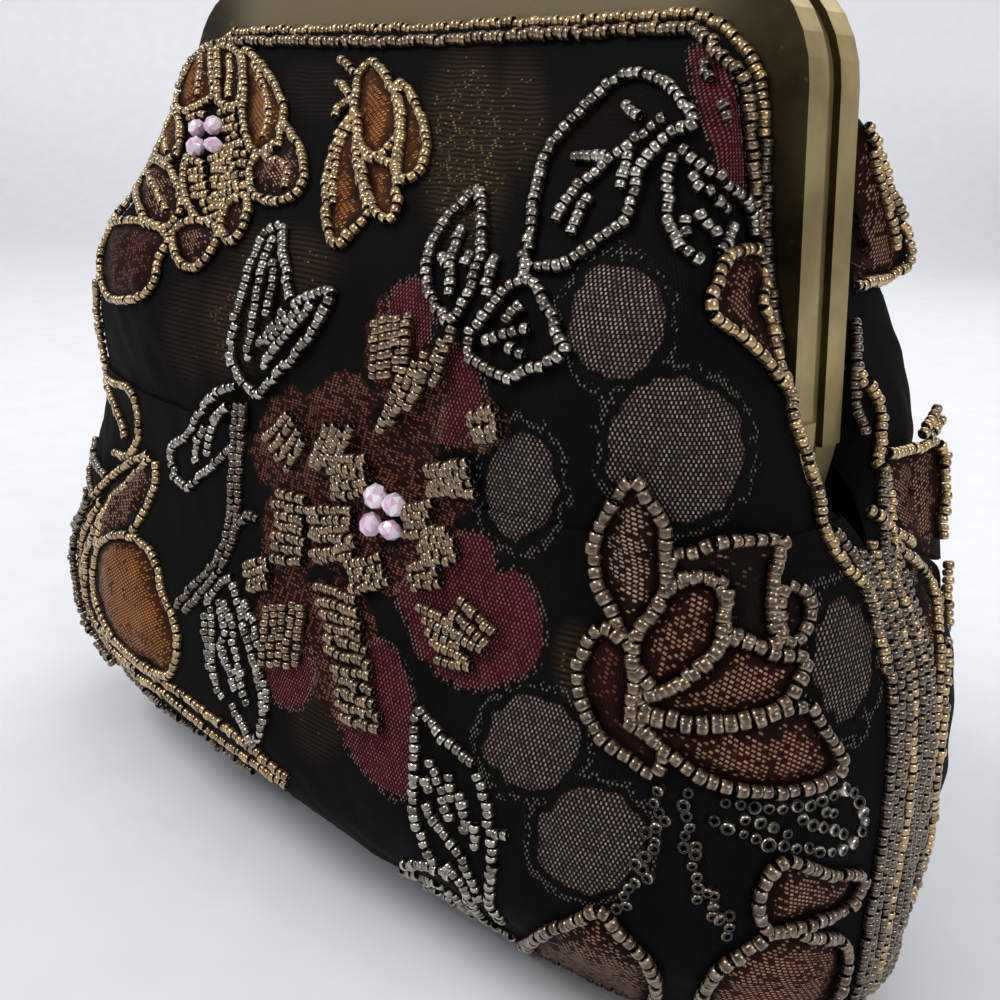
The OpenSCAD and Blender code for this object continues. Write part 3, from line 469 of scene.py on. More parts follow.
def petal_cloth(name, dark, light, dash, turn, share):
    """Appliqued woven cloth: satin twill with slanted bright floats, with painted shade darkening the cloth and
    thinning and dimming its floats towards its rim.
    """
    n = Net(name)
    flat, u, v = n.uv(turn)
    tone, depth = n.attr("tone"), n.attr("edge")
    cloud = n.noise(flat, 0.14, 3)
    # glow: the cloth's own cloudy tone, plus painted shade that darkens it near the rim
    glow = n.plus(n.mul(n.step(cloud, 0.3, 0.7), 0.5), n.mul(n.step(depth, 0.8, 5.0), 0.5))
    base = n.mix(glow, dark, light)
    base = n.mix(n.mul(tone, 0.4), base, dark)
    twill = n.wave(n.plus(u, n.mul(v, 0.8)), 0.55)
    base = n.mix(n.mul(twill, 0.4), base, (16, 9, 7))
    pitch = 0.98
    on, luck = n.dashes(u, v, pitch, pitch * 0.64, 0.66, 0.37, 0.36)
    # Painted shade also thins the bright floats near the rim, and glow dims them there
    dense = n.line(n.step(depth, 1.0, 3.6), share, n.line(cloud, 0.9, -0.4))
    bright = n.mul(on, n.step(n.minus(dense, luck), -0.04, 0.06))
    col = n.mix(n.mul(bright, n.line(glow, 0.5, 0.5)), base,
                n.mix(n.noise(flat, 0.9), dash, light))
    # Painted shade: a dark band along the rim of the petal
    rim = n.step(depth, 1.9, 0.3)
    col = n.mix(n.mul(rim, 0.7), col, (14, 8, 6))
    n.set(Base_Color=col, Metallic=n.mul(bright, 0.4), Specular_IOR_Level=0.04,
          Roughness=n.line(bright, -0.18, 0.55))
    n.bump(n.plus(n.mul(twill, 0.5), bright), 0.1, 0.8)
    return n.mat


def bead_glass(name, core_dark, core_light, rim, metal, rough=0.12):
    """Lined glass seed bead: painted shade in the hole and on the ends, a painted highlight on the shoulders, painted
    near-white glints, a darker middle and a gloss coat.
    """
    n = Net(name)
    where = n.add("ShaderNodeTexCoord").outputs["Object"]
    tone, band = n.attr("tone"), n.attr("band")
    painted_glint_and_mottle = n.noise(where, 900.0, 2)
    body = n.mix(tone, core_dark, core_light)
    # Painted glints: near-white flecks where the noise is high, dark mottle where it is low
    body = n.mix(n.step(painted_glint_and_mottle, 0.5, 0.75), body, n.mix(0.3, body, (250, 240, 215)))
    body = n.mix(n.step(painted_glint_and_mottle, 0.42, 0.3), body, rim)
    # Painted highlight: a pale band round the shoulders of the bead
    painted_shoulder_highlight = n.mul(n.step(band, 0.35, 0.6), n.step(band, 1.0, 0.75))
    body = n.mix(n.mul(n.step(band, 0.7, 1.0), 0.6), body, core_dark)
    body = n.mix(n.mul(painted_shoulder_highlight, 0.26), body, (222, 192, 150))
    # Painted shade: the hole and the flat ends, where beads meet, take the dark rim colour
    col = n.mix(n.step(band, 0.3, 0.6), rim, body)
    n.set(Base_Color=col, Metallic=metal, Roughness=n.line(painted_glint_and_mottle, 0.16, rough),
          Coat_Weight=0.7, Coat_Roughness=0.04, Specular_IOR_Level=0.5)
    n.bump(n.noise(where, 420.0, 1), 0.12, 0.35)
    return n.mat


def crystal_glass():
    n = Net("crystal")
    tone = n.attr("tone")
    # Painted glints: each facet runs from pink to near-white by its random tone
    n.set(Base_Color=n.mix(tone, (214, 160, 196), (255, 252, 254)), Roughness=0.04,
          Transmission_Weight=0.1, IOR=1.6, Coat_Weight=1.0, Coat_Roughness=0.02)
    return n.mat


def brass(name, dark, light, rough, brushed=1.0, face_reflection=None, leg_reflection=None):
    """Aged brass: brushed along the band, with painted dark reflection on the faces that look along Y, far darker on
    the legs, and bevelled edges brightened as rubbed wear and painted highlight.
    """
    n = Net(name)
    coords = n.add("ShaderNodeTexCoord")
    where = coords.outputs["Object"]
    along_band = n.add("ShaderNodeMapping", {"Vector": where, "Scale": (1, 14, 14)}).outputs[0]
    brush = n.noise(along_band, 300.0, 4, 0.65)
    cloud = n.noise(where, 34.0, 4, 0.6)
    spots = n.noise(where, 420.0, 3, 0.7)
    col = n.mix(n.step(cloud, 0.3, 0.7), dark, light)
    if face_reflection:
        facing_y = n.math("ABSOLUTE", n.add("ShaderNodeSeparateXYZ", {0: coords.outputs["Normal"]}).outputs[1])
        place_x = n.math("ABSOLUTE", n.add("ShaderNodeSeparateXYZ", {0: where}).outputs[0])
        # Painted dark reflection: faces turned along Y take the face colour on the band and a much darker one on the
        # legs, in place of the dark room the brass reflects
        painted_dark_reflection = n.mix(n.step(place_x, 0.054, 0.076), face_reflection, leg_reflection)
        painted_dark_reflection = n.mix(n.mul(n.step(cloud, 0.3, 0.7), 0.3), painted_dark_reflection, dark)
        col = n.mix(n.step(facing_y, 0.86, 0.97), col, painted_dark_reflection)
        # Bevelled edges are brightened: partly rubbed wear, partly a painted highlight where the edges would catch the
        # light
        rubbed_wear_and_highlight = n.mul(n.step(facing_y, 0.12, 0.35), n.step(facing_y, 0.93, 0.8))
        col = n.mix(n.mul(rubbed_wear_and_highlight, 0.7), col, n.mix(0.4, light, (236, 214, 150)))
    col = n.mix(n.mul(n.step(spots, 0.62, 0.8), 0.45), col, dark)
    rough_now = n.line(brush, 0.25 * brushed, rough)
    n.set(Base_Color=col, Metallic=1.0, Roughness=n.line(spots, 0.1, rough_now))
    n.bump(n.plus(n.mul(brush, brushed), n.mul(cloud, 0.4)), 0.03, 0.5)
    return n.mat


def satin(name, dark, light):
    n = Net(name)
    flat, u, v = n.uv()
    warp = n.wave(u, 0.34)
    weft = n.wave(v, 0.5)
    col = n.mix(n.noise(flat, 0.05, 3), dark, light)
    n.set(Base_Color=n.mix(n.mul(warp, 0.2), col, light), Roughness=0.42, Specular_IOR_Level=0.3)
    n.bump(n.plus(n.mul(warp, 0.6), n.mul(weft, 0.3)), 0.05, 0.6)
    return n.mat


def felt(name, dark, light, scale=400.0):
    n = Net(name)
    where = n.add("ShaderNodeTexCoord").outputs["Object"]
    fibre = n.noise(where, scale, 5, 0.7)
    n.set(Base_Color=n.mix(fibre, dark, light), Roughness=0.95, Sheen_Weight=0.3)
    n.bump(fibre, 0.5, 0.8)
    return n.mat


MATS = {
    "brocade": brocade(),
    "rust": petal_cloth("rust_petal", (20, 7, 5), (50, 19, 13), (212, 160, 128), 28, 0.72),
    "orange": petal_cloth("orange_petal", (26, 13, 7), (112, 60, 21), (216, 150, 80), -32, 0.9),
    "wine": petal_cloth("wine_petal", (24, 9, 9), (56, 20, 18), (140, 84, 66), 35, 0.45),
    "rose": petal_cloth("rose_petal", (18, 8, 6), (46, 23, 17), (232, 200, 174), 22, 0.8),
    "shade": petal_cloth("shade_petal", (10, 8, 8), (26, 17, 15), (110, 84, 72), 22, 0.1),
    # The third colour of each bead is painted shade for its hole and ends
    "amber": bead_glass("amber_beads", (70, 49, 29), (162, 127, 86), (24, 15, 8), 0.75),
    "gold": bead_glass("gold_beads", (112, 86, 48), (240, 196, 128), (26, 17, 8), 0.75),
    "copper": bead_glass("copper_beads", (48, 31, 20), (112, 82, 58), (15, 9, 6), 0.65),
    "silver": bead_glass("silver_beads", (42, 41, 39), (212, 208, 196), (9, 9, 9), 0.9, 0.08),
    "umber": bead_glass("umber_beads", (20, 12, 8), (68, 45, 31), (10, 7, 5), 0.7),
    "dark": bead_glass("dark_beads", (14, 11, 11), (66, 52, 42), (6, 5, 5), 0.7, 0.1),
    "stem": bead_glass("stem_beads", (22, 13, 11), (66, 42, 33), (10, 7, 6), 0.7),
    "crystal": crystal_glass(),
    # The band's face and leg colours are painted dark reflection on the frame's front and back faces
    "band": brass("antique_brass", (140, 123, 82), (194, 174, 122), 0.34, face_reflection=(134, 122, 98),
                  leg_reflection=(40, 33, 21)),
    "knob": brass("polished_brass", (134, 114, 70), (186, 164, 108), 0.16, 0.3),
    "rivet": brass("dark_brass", (70, 58, 36), (120, 102, 64), 0.3, 0.6),
    "lining": satin("satin_lining", (22, 18, 18), (44, 36, 33)),
    "pocket": satin("pocket_satin", (26, 22, 20), (50, 42, 38)),
    "wadding": felt("wadding", (196, 190, 178), (232, 228, 218)),
    "card": felt("base_card", (120, 104, 80), (168, 150, 120), 220.0),
    "paper": felt("paper_twist", (160, 138, 100), (206, 184, 142), 900.0),
}
# The part's own materials, and the finishes here that each of them takes
SLOTS = {key: slot for slot, keys in {
    "black_brocade": ("brocade", "rust", "orange", "wine", "rose", "shade"), "gold_beads": ("gold", "amber"),
    "copper_beads": ("copper", "stem", "umber"), "silver_beads": ("silver",), "dark_beads": ("dark",),
    "crystal": ("crystal",), "satin_lining": ("lining", "pocket"), "padding": ("wadding",)}.items() for key in keys}


def finish_with(obj, key):
    obj.data.materials.clear()
    obj.data.materials.append(MATS[key])


def place(obj, side, part):
    """side is front or rear; part is upper, which bends with the half, lower or rigid."""
    if part == "upper":
        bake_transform(obj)
    elif part == "rigid":
        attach(obj, side + "_half")
    else:
        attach(obj, "pouch")


def turned(points, side):
    p = np.array(points, float)
    if side == "rear":
        p[..., 0] *= -1
        p[..., 1] *= -1
    return p


# Outer cloth of the front as one dense grid, kept for casting and later cut at the hinge line
COLS, ROLL_COLS = 250, 12
ROW_STEP = 1.25
front_a = even(np.linspace(-90, 90, COLS + 1))
roll_a = np.linspace(90, 179, ROLL_COLS + 1)[1:]
cloth_a = np.concatenate([-roll_a[::-1], front_a, roll_a])
low_z = np.linspace(0.5, hinge_h, int(hinge_h / ROW_STEP) + 1)
high_z = np.linspace(hinge_h, inner_top - soft_gap, int(open_h / ROW_STEP) + 1)
cloth_z = np.concatenate([low_z, high_z[1:]])
HINGE_ROW = len(low_z) - 1


def grid_normals(p):
    du = np.gradient(p, axis=1)
    dv = np.gradient(p, axis=0)
    n = np.cross(du, dv)
    size = np.linalg.norm(n, axis=-1, keepdims=True)
    n = n / np.maximum(size, 1e-9)
    middle = p.shape[1] // 2
    return n if n[p.shape[0] // 2, middle, 1] < 0 else -n


cloth_p = skin(cloth_a[None, :], cloth_z[:, None], 0.0)
# The sides swell out past the frame's legs, and the hinge line is evened over a few rows
over_band = np.interp(cloth_z, [116, 122, 128, 135, 141, 148, 154, 158, 161, 164, 167],
                      [0, 0.5, 1.9, 3.2, 3.9, 3.8, 3.2, 2.8, 1.6, 0.5, 0])
cloth_p[..., 0] += np.sign(cloth_a)[None, :] * smooth((np.abs(cloth_a) - 52) / 32)[None, :] * over_band[:, None]
EVEN_ROWS = 6
kernel = np.exp(-np.linspace(-1.8, 1.8, 2 * EVEN_ROWS + 1) ** 2)
kernel /= kernel.sum()
padded_p = np.pad(cloth_p[..., :2], ((EVEN_ROWS, EVEN_ROWS), (0, 0), (0, 0)), mode="edge")
even_p = sum(kernel[k] * padded_p[k:k + len(cloth_z)] for k in range(len(kernel)))
cloth_p[..., :2] += (even_p - cloth_p[..., :2]) * np.exp(-((cloth_z - hinge_h) / 9) ** 2)[:, None, None]
cloth_n = grid_normals(cloth_p)
cloth_u = run_along(cloth_p, 1)
cloth_u -= cloth_u[:, [len(cloth_a) // 2]]
cloth_v = run_along(cloth_p, 0)
cloth_v += (cloth_v[:, [len(cloth_a) // 2]] - cloth_v) * 0.85

# Soft unevenness: slack folds low down, gathers under the frame, flat by the frame and the hem
calm = smooth((inner_top - cloth_z) / 14)[:, None] * smooth(cloth_z / 8)[:, None]
inward = smooth((92 - np.abs(cloth_a)) / 14)[None, :]
uneven = 0.42 * wander(cloth_u, cloth_v, 3, low=22, high=80) + 0.13 * wander(cloth_u, cloth_v, 4, low=6, high=16)
gathers = 0.22 * wander(cloth_u, cloth_v * 0.12, 5, low=5, high=11) * smooth((cloth_z - 108) / 40)[:, None]
cloth_p = cloth_p + cloth_n * (np.clip(uneven + gathers - 0.25, -1.0, 1.0) * calm * inward)[..., None]
cloth_n = grid_normals(cloth_p)

flat_p = cloth_p.reshape(-1, 3)
flat_n = cloth_n.reshape(-1, 3)
flat_uv = np.stack([cloth_u, cloth_v], -1).reshape(-1, 2)
all_quads = grid_faces(len(cloth_z), len(cloth_a))
cast_tris = np.concatenate([all_quads[:, [0, 1, 2]], all_quads[:, [0, 2, 3]]])
front_tree = BVHTree.FromPolygons([Vector(p) for p in flat_p], cast_tris.tolist())
rear_tree = BVHTree.FromPolygons([Vector((-p[0], -p[1], p[2])) for p in flat_p], cast_tris.tolist())
flat_px = to_px(flat_p)
facing = np.einsum("ij,ij->i", flat_n, EYE - flat_p) > 0
facing_ids = np.nonzero(facing)[0]


def surface_of(index, spot, rear):
    """Normal and flat coordinates at a point of one triangle of the cloth."""
    ids = cast_tris[index]
    corners = flat_p[ids] * ([-1, -1, 1] if rear else [1, 1, 1])
    e1, e2, d = corners[1] - corners[0], corners[2] - corners[0], spot - corners[0]
    a, b, c = e1 @ e1, e1 @ e2, e2 @ e2
    s, t = d @ e1, d @ e2
    det = max(a * c - b * b, 1e-12)
    v, w = (c * s - b * t) / det, (a * t - b * s) / det
    share = np.array([1 - v - w, v, w])
    n = share @ flat_n[ids]
    if rear:
        n = n * [-1, -1, 1]
    return n / np.linalg.norm(n), share @ flat_uv[ids]


def cast(p, rear=False):
    """Point, normal and flat coordinates where the photograph's pixel p meets the cloth, or comes nearest to it."""
    tree = rear_tree if rear else front_tree
    hit, _, index, _ = tree.ray_cast(Vector(EYE), Vector(px_ray(p)))
    if hit is not None:
        spot = np.array(hit)
        n, uv = surface_of(index, spot, rear)
        if n @ (EYE - spot) > 0:
            return spot, n, uv
    if rear:
        ray, stand_off = px_ray(p), 11.0
        tries = [(tree.find_nearest(Vector(EYE + ray * s)), EYE + ray * s) for s in np.arange(190, 330, 2.0)]
        (near, _, index, far), spot = min(tries, key=lambda t: t[0][3])
        near = np.array(near)
        n, uv = surface_of(index, near, True)
        return near + (spot - near) * min(1.0, stand_off / max(far, 1e-6)), n, uv
    gap = np.linalg.norm(flat_px[facing_ids] - np.asarray(p, float), axis=1)
    best = facing_ids[int(np.argmin(gap))]
    return flat_p[best], flat_n[best], flat_uv[best]


def rear_edge(y):
    """The last pixel of a row, coming from the right, that sees the rear cloth."""
    for x in range(960, 780, -2):
        hit, _, index, _ = rear_tree.ray_cast(Vector(EYE), Vector(px_ray((x, y))))
        if hit is not None and surface_of(index, np.array(hit), True)[0] @ (EYE - np.array(hit)) > 0:
            return np.array([x - 5.0, y])
    return np.array([850.0, y])


def flap(high, low):
    """Casts on the rear cloth, and beyond its outline on a loose edge that stands off it."""
    first, second = rear_edge(high), rear_edge(low)
    (a, _, uv), (b, _, _) = cast(first, True), cast(second, True)
    along = (b - a) / np.linalg.norm(b - a)
    n = np.cross(along, RIGHT * 0.75 + FORWARD * 0.66)
    n *= math.copysign(1, n @ (EYE - a)) / np.linalg.norm(n)
    outward = np.cross(n, along)

    def probe(p):
        d, w = second - first, np.asarray(p, float) - first
        if d[0] * w[1] - d[1] * w[0] >= 0:
            return cast(p, True)
        ray = px_ray(p)
        spot = EYE + ray * ((a - EYE) @ n / (ray @ n))
        return spot, n, uv + np.array([(spot - a) @ outward, (spot - a) @ along])
    return probe


def curve_through(points, closed=False, step=2.0):
    """Catmull-Rom curve through pixels, as evenly spaced points."""
    p = np.asarray(points, float)
    if closed:
        p = np.concatenate([p[-1:], p, p[:2]])
    else:
        p = np.concatenate([2 * p[:1] - p[1:2], p, 2 * p[-1:] - p[-2:-1]])
    out = []
    for i in range(1, len(p) - 2):
        a, b, c, d = p[i - 1:i + 3]
        count = max(2, int(np.linalg.norm(c - b) / step))
        t = np.linspace(0, 1, count, endpoint=False)[:, None]
        out.append(0.5 * (2 * b + (c - a) * t + (2 * a - 5 * b + 4 * c - d) * t ** 2
                          + (3 * b - a - 3 * c + d) * t ** 3))
    if not closed:
        out.append(p[-2][None])
    return np.concatenate(out)


# Beads: a rounded glass ring, closed through its hole
BEAD_SIDES, BEADS_PER_PIECE = 10, 1100
BEAD_PROFILE = np.array([
    [-0.36, 0.40, 0.0], [-0.49, 0.60, 0.1], [-0.44, 0.86, 0.45], [-0.20, 1.0, 0.9],
    [0.20, 1.0, 1.0], [0.44, 0.86, 0.45], [0.49, 0.60, 0.1], [0.36, 0.40, 0.0]])


class BeadBag:
    """Collects beads as centre, hole, up, radius, length and tone, then makes meshes cut at the hinge line."""

    def __init__(self):
        self.items = []

    def row(self, points, normals, radius=bead_r, pitch=1.95, lift=0.9, size_noise=0.07, closed=False,
            across=False, jitter=0.12):
        """Beads along a curve on the cloth, sewn a little unevenly."""
        p = np.asarray(points, float)
        n = np.asarray(normals, float)
        if closed:
            p, n = np.concatenate([p, p[:1]]), np.concatenate([n, n[:1]])
        if len(p) > 4:
            inner = (p[:-2] + p[1:-1] * 2 + p[2:]) / 4
            p = np.concatenate([p[:1], inner, p[-1:]])
        run = run_along(p, 0)
        if run[-1] < pitch * 0.8:
            return
        count = max(1, int(round(run[-1] / pitch)))
        spots = (np.arange(count) + 0.5) * run[-1] / count
        if count > 3:
            spots = spots + rng.uniform(-0.1, 0.1, count)

        def at(s, rows):
            return np.array([np.interp(s, run, rows[:, k]) for k in range(3)])

        for s in spots:
            a, b, out = at(min(s + 0.7, run[-1]), p), at(max(s - 0.7, 0), p), at(s, n)
            up = out / np.linalg.norm(out)
            t = a - b + rng.normal(0, jitter, 3) * 0.9
            t -= up * (t @ up) * 0.8
            t /= max(np.linalg.norm(t), 1e-9)
            if across:
                t = up + rng.normal(0, 0.18, 3)
                t /= np.linalg.norm(t)
                up = a - b
            side = np.cross(t, up)
            side /= max(np.linalg.norm(side), 1e-9)
            up = np.cross(side, t)
            r = radius * (1 + rng.normal(0, size_noise))
            long = min(pitch * 0.93, radius * 1.86) * (1 + rng.normal(0, 0.06))
            lean = rng.normal(0, jitter)
            centre = at(s, p) + out * (r * lift) + side * lean
            centre[2] = max(centre[2], r + 0.05)
            self.items.append((centre, t, up, r, long, rng.uniform(0, 1)))

    def build(self, name, key, side, cut=True, own=False):
        """Pieces of a side; with own, beads that were traced on the rear itself and aren't turned round."""
        made = []
        arrays = [np.array([i[k] for i in self.items], float) for k in range(6)]
        above = arrays[0][:, 2] > hinge_h if cut is True else np.full(len(self.items), cut == "upper")
        for part, chosen in (("upper", above), ("lower", ~above)):
            ids = np.nonzero(chosen)[0]
            for k, start in enumerate(range(0, len(ids), BEADS_PER_PIECE)):
                some = ids[start:start + BEADS_PER_PIECE]
                piece = bead_mesh(f"{side}_{name}_{part}" + (f"_{k + 1}" if len(ids) > BEADS_PER_PIECE else ""),
                                  *[a[some] for a in arrays], "front" if own else side)
                finish_with(piece, key)
                place(piece, side, "rigid" if cut == "rigid" else part)
                made.append(piece)
        return made


def bead_mesh(name, centres, along, up, radius, length, tone, side):
    out = np.cross(along, up)
    turn = np.arange(BEAD_SIDES) * 2 * math.pi / BEAD_SIDES
    ring = (up[:, None, :] * np.cos(turn)[None, :, None] + out[:, None, :] * np.sin(turn)[None, :, None])
    stops = len(BEAD_PROFILE)
    verts = (centres[:, None, None, :]
             + along[:, None, None, :] * (BEAD_PROFILE[:, 0][None, :, None, None] * length[:, None, None, None])
             + ring[:, None, :, :] * (BEAD_PROFILE[:, 1][None, :, None, None] * radius[:, None, None, None]))
    p, s = np.meshgrid(np.arange(stops), np.arange(BEAD_SIDES), indexing="ij")
    p1, s1 = (p + 1) % stops, (s + 1) % BEAD_SIDES
    one = np.stack([p * BEAD_SIDES + s, p * BEAD_SIDES + s1, p1 * BEAD_SIDES + s1, p1 * BEAD_SIDES + s], -1)
    one = one.reshape(-1, 4)
    faces = (one[None] + (np.arange(len(centres)) * stops * BEAD_SIDES)[:, None, None]).reshape(-1, 4)
    band = np.broadcast_to(BEAD_PROFILE[:, 2][None, :, None], verts.shape[:3])
    tones = np.broadcast_to(np.clip(tone, 0, 1)[:, None, None], verts.shape[:3])
    return make_mesh(name, turned(verts.reshape(-1, 3), side), faces,
                     values={"band": band.ravel(), "tone": tones.ravel()})


bags = {}
stitch_lines = []


def string(group, points, closed=False, rear=None, mirrored=False, **how):
    """A string of beads sewn to the cloth along a line of the photograph."""
    line = curve_through(points, closed)
    hits = [(rear or cast)(p) for p in line]
    spots, normals = np.array([h[0] for h in hits]), np.array([h[1] for h in hits])
    for flip in ([1, 1, 1], [-1, 1, 1])[:2 if mirrored else 1]:
        if not rear:
            stitch_lines.append(spots * flip)
        bags.setdefault(group, BeadBag()).row(spots * flip, normals * flip, closed=closed, **how)


def clump(group, start, end, last, rows, **how):
    """Parallel short rows from start to end, stepping towards last."""
    start, end, last = (np.array(p, float) for p in (start, end, last))
    for k in range(rows):
        move = (last - start) * (k / max(1, rows - 1))
        wob = rng.normal(0, 1.2, 2)
        string(group, [start + move + wob, (start + end) / 2 + move + wob * 0.4, end + move - wob],
               **{"jitter": 0.16, **how})


def inside_polygon(points, outline):
    x, y = points[:, 0], points[:, 1]
    inside = np.zeros(len(points), bool)
    o = np.asarray(outline, float)
    for a, b in zip(o, np.roll(o, -1, axis=0)):
        crosses = (a[1] > y) != (b[1] > y)
        with np.errstate(divide="ignore", invalid="ignore"):
            at = (b[0] - a[0]) * (y - a[1]) / (b[1] - a[1]) + a[0]
        inside ^= crosses & (x < at)
    return inside


def oval_reach(seen, cx, cy, w, h, turn=0.0):
    """Distance of pixels from an oval's centre, as a share of its radius."""
    c, s = math.cos(math.radians(turn)), math.sin(math.radians(turn))
    dx, dy = seen[:, 0] - cx, seen[:, 1] - cy
    return np.hypot((dx * c + dy * s) / (w / 2), (dy * c - dx * s) / (h / 2))


def edge_distance(points, outline):
    o = np.asarray(outline, float)
    best = np.full(len(points), 1e9)
    for a, b in zip(o, np.roll(o, -1, axis=0)):
        d = b - a
        t = np.clip(((points - a) @ d) / max(d @ d, 1e-9), 0, 1)
        best = np.minimum(best, np.linalg.norm(points - (a + t[:, None] * d), axis=1))
    return best


patches = []


def patch(name, key, outline, *, dome, lift=0.35, rear=None):
    """A petal of woven cloth laid on the bag: the outline is in pixels of the photograph."""
    spacing = 6.0
    rim = curve_through(outline, True, spacing)
    low, high = rim.min(0), rim.max(0)
    gx, gy = np.meshgrid(np.arange(low[0], high[0], spacing), np.arange(low[1], high[1], spacing))
    gx = gx + (np.arange(gx.shape[0]) % 2)[:, None] * spacing / 2
    inner = np.stack([gx.ravel(), gy.ravel()], -1)
    inner = inner[inside_polygon(inner, rim)]
    inner = inner[edge_distance(inner, rim) > spacing * 0.55]
    pts = np.concatenate([rim, inner])
    ring = list(range(len(rim)))
    done = delaunay_2d_cdt([Vector(p) for p in pts], [], [ring], 1, 1e-4)
    pts2, tris = np.array([list(p) for p in done[0]]), [f for f in done[2] if len(f) == 3]
    hits = [(rear or cast)(p) for p in pts2]
    base, normal, uv = (np.array([h[k] for h in hits]) for k in range(3))
    edge_px = edge_distance(pts2, rim)
    edge_mm = edge_px * np.linalg.norm(base - EYE, axis=1) / FOCAL_PX
    swell = lift + dome * smooth(edge_mm / 4.0)
    top = base + normal * swell[:, None]
    seed = sum(ord(c) for c in name)
    top = top + normal * (0.16 * wander(uv[:, 0], uv[:, 1], seed, 8, 4, 14) * smooth(edge_mm / 2))[:, None]
    under = base - normal * (0.7 if rear else 0.25)
    top[:, 2], under[:, 2] = np.maximum(top[:, 2], 0.1), np.maximum(under[:, 2], 0.05)
    tris = np.array(tris, np.int32)
    a, b, c = (top[tris[:, k]] for k in range(3))
    flip = np.einsum("ij,ij->i", np.cross(b - a, c - a), normal[tris[:, 0]]) < 0
    tris[flip] = tris[flip][:, ::-1]
    patches.append(dict(name=name, key=key, top=top, under=under, tris=tris, uv=uv,
                        edge=edge_mm, tone=rng.uniform(0, 1), rear=bool(rear)))


def px(points):
    """Pixels of one traced line, written as x,y points."""
    return [tuple(map(int, point.split(","))) for point in points.split()]


def lines(table):
    """Traced lines of a table, with a semicolon between them."""
    return [px(row) for row in table.split(";")]


# Ways of sewing beads that come back
FINE = dict(pitch=1.7, radius=0.95)
OPEN = dict(pitch=1.75, radius=1.0)
DENSE = dict(pitch=1.45, radius=1.05, jitter=0.2)
HEAVY = dict(pitch=2.05, radius=1.12)
LOOSE = dict(pitch=1.5, radius=1.05, jitter=0.15, lift=1.2)
EDGE = dict(pitch=1.6, radius=1.05, jitter=0.15, lift=1.0)

# Motifs of the front, traced as bead lines in pixels of the photograph

# Upper flower
upper_petals = {
    "a": px("196,42 190,60 182,80 178,100 187,114 205,105 216,98 215,75 212,48"),
    "b": px("222,50 221,70 222,104 235,108 243,105 245,80 241,55"),
    "c": px("246,54 262,65 277,85 285,105 286,122 281,142 265,155 253,150 246,120 248,90"),
    "d": px("285,128 298,142 306,165 304,188 290,202 270,203 256,195 253,172 262,157 280,150"),
    "e": px("165,112 155,122 150,138 156,156 168,163 180,155 183,132 178,112"),
    "f": px("150,160 141,172 140,200 148,220 163,230 176,225 184,208 178,180 165,166"),
    "g": px("112,229 106,250 104,275 112,295 128,300 145,297 158,282 162,260 172,240 150,226 130,222"),
    "h": px("178,232 178,255 188,268 202,267 214,252 222,232 200,222"),
    "i": px("224,228 232,243 243,235 251,212 248,198 232,205"),
}
for key, line in upper_petals.items():
    patch("upper_petal_" + key, {"g": "wine", "a": "orange", "c": "orange", "e": "orange"}.get(key, "rust"), line,
          lift=0.3, dome=1.1)
    string("upper_flower", line, True, **FINE)
for line in lines("""172,104 150,118 138,142 125,170 118,200 112,226; 204,52 203,75 200,98; 232,58 233,80 232,100;
    258,66 268,90 272,118 266,142; 268,160 290,170 288,192; 158,128 168,140 170,155; 152,175 160,195 170,214; 190,160
    186,180 190,205 200,222"""):
    string("upper_flower", line, **FINE)
for start, end, last, rows in (
        ((190, 112), (206, 106), (192, 122), 2), ((222, 116), (240, 112), (228, 150), 5),
        ((188, 160), (205, 156), (196, 200), 6), ((212, 160), (238, 156), (218, 205), 7),
        ((205, 205), (225, 200), (208, 222), 3), ((228, 152), (246, 146), (240, 190), 5)):
    clump("upper_flower", start, end, last, rows, pitch=1.6, radius=0.95)
UPPER_CRYSTALS = px("197,128 213,126 196,148 213,145")

# Bud
bud = {
    "a": px("360,118 347,130 336,152 330,180 329,215 333,240 342,247 356,233 371,214 366,195 360,165"),
    "b": px("376,65 388,78 396,92 402,115 400,138 390,153 375,160 363,145 358,118 360,85 367,70"),
    "c": px("402,85 414,98 424,120 430,145 424,168 410,182 400,178 402,150 404,120"),
    "d": px("366,163 368,185 376,210 392,222 399,205 398,180 392,166"),
}
for key, line in bud.items():
    patch("bud_petal_" + key, "orange", line, lift=0.3, dome=1.0)
    string("upper_leaf_gold", line, True, **FINE)
for line in lines("""353,128 342,150 337,180 336,208; 403,100 405,130 400,160 400,176; 343,62 350,68 358,75; 340,83
    347,90 354,97; 338,120 342,110 356,103"""):
    string("upper_leaf_gold", line, **FINE)

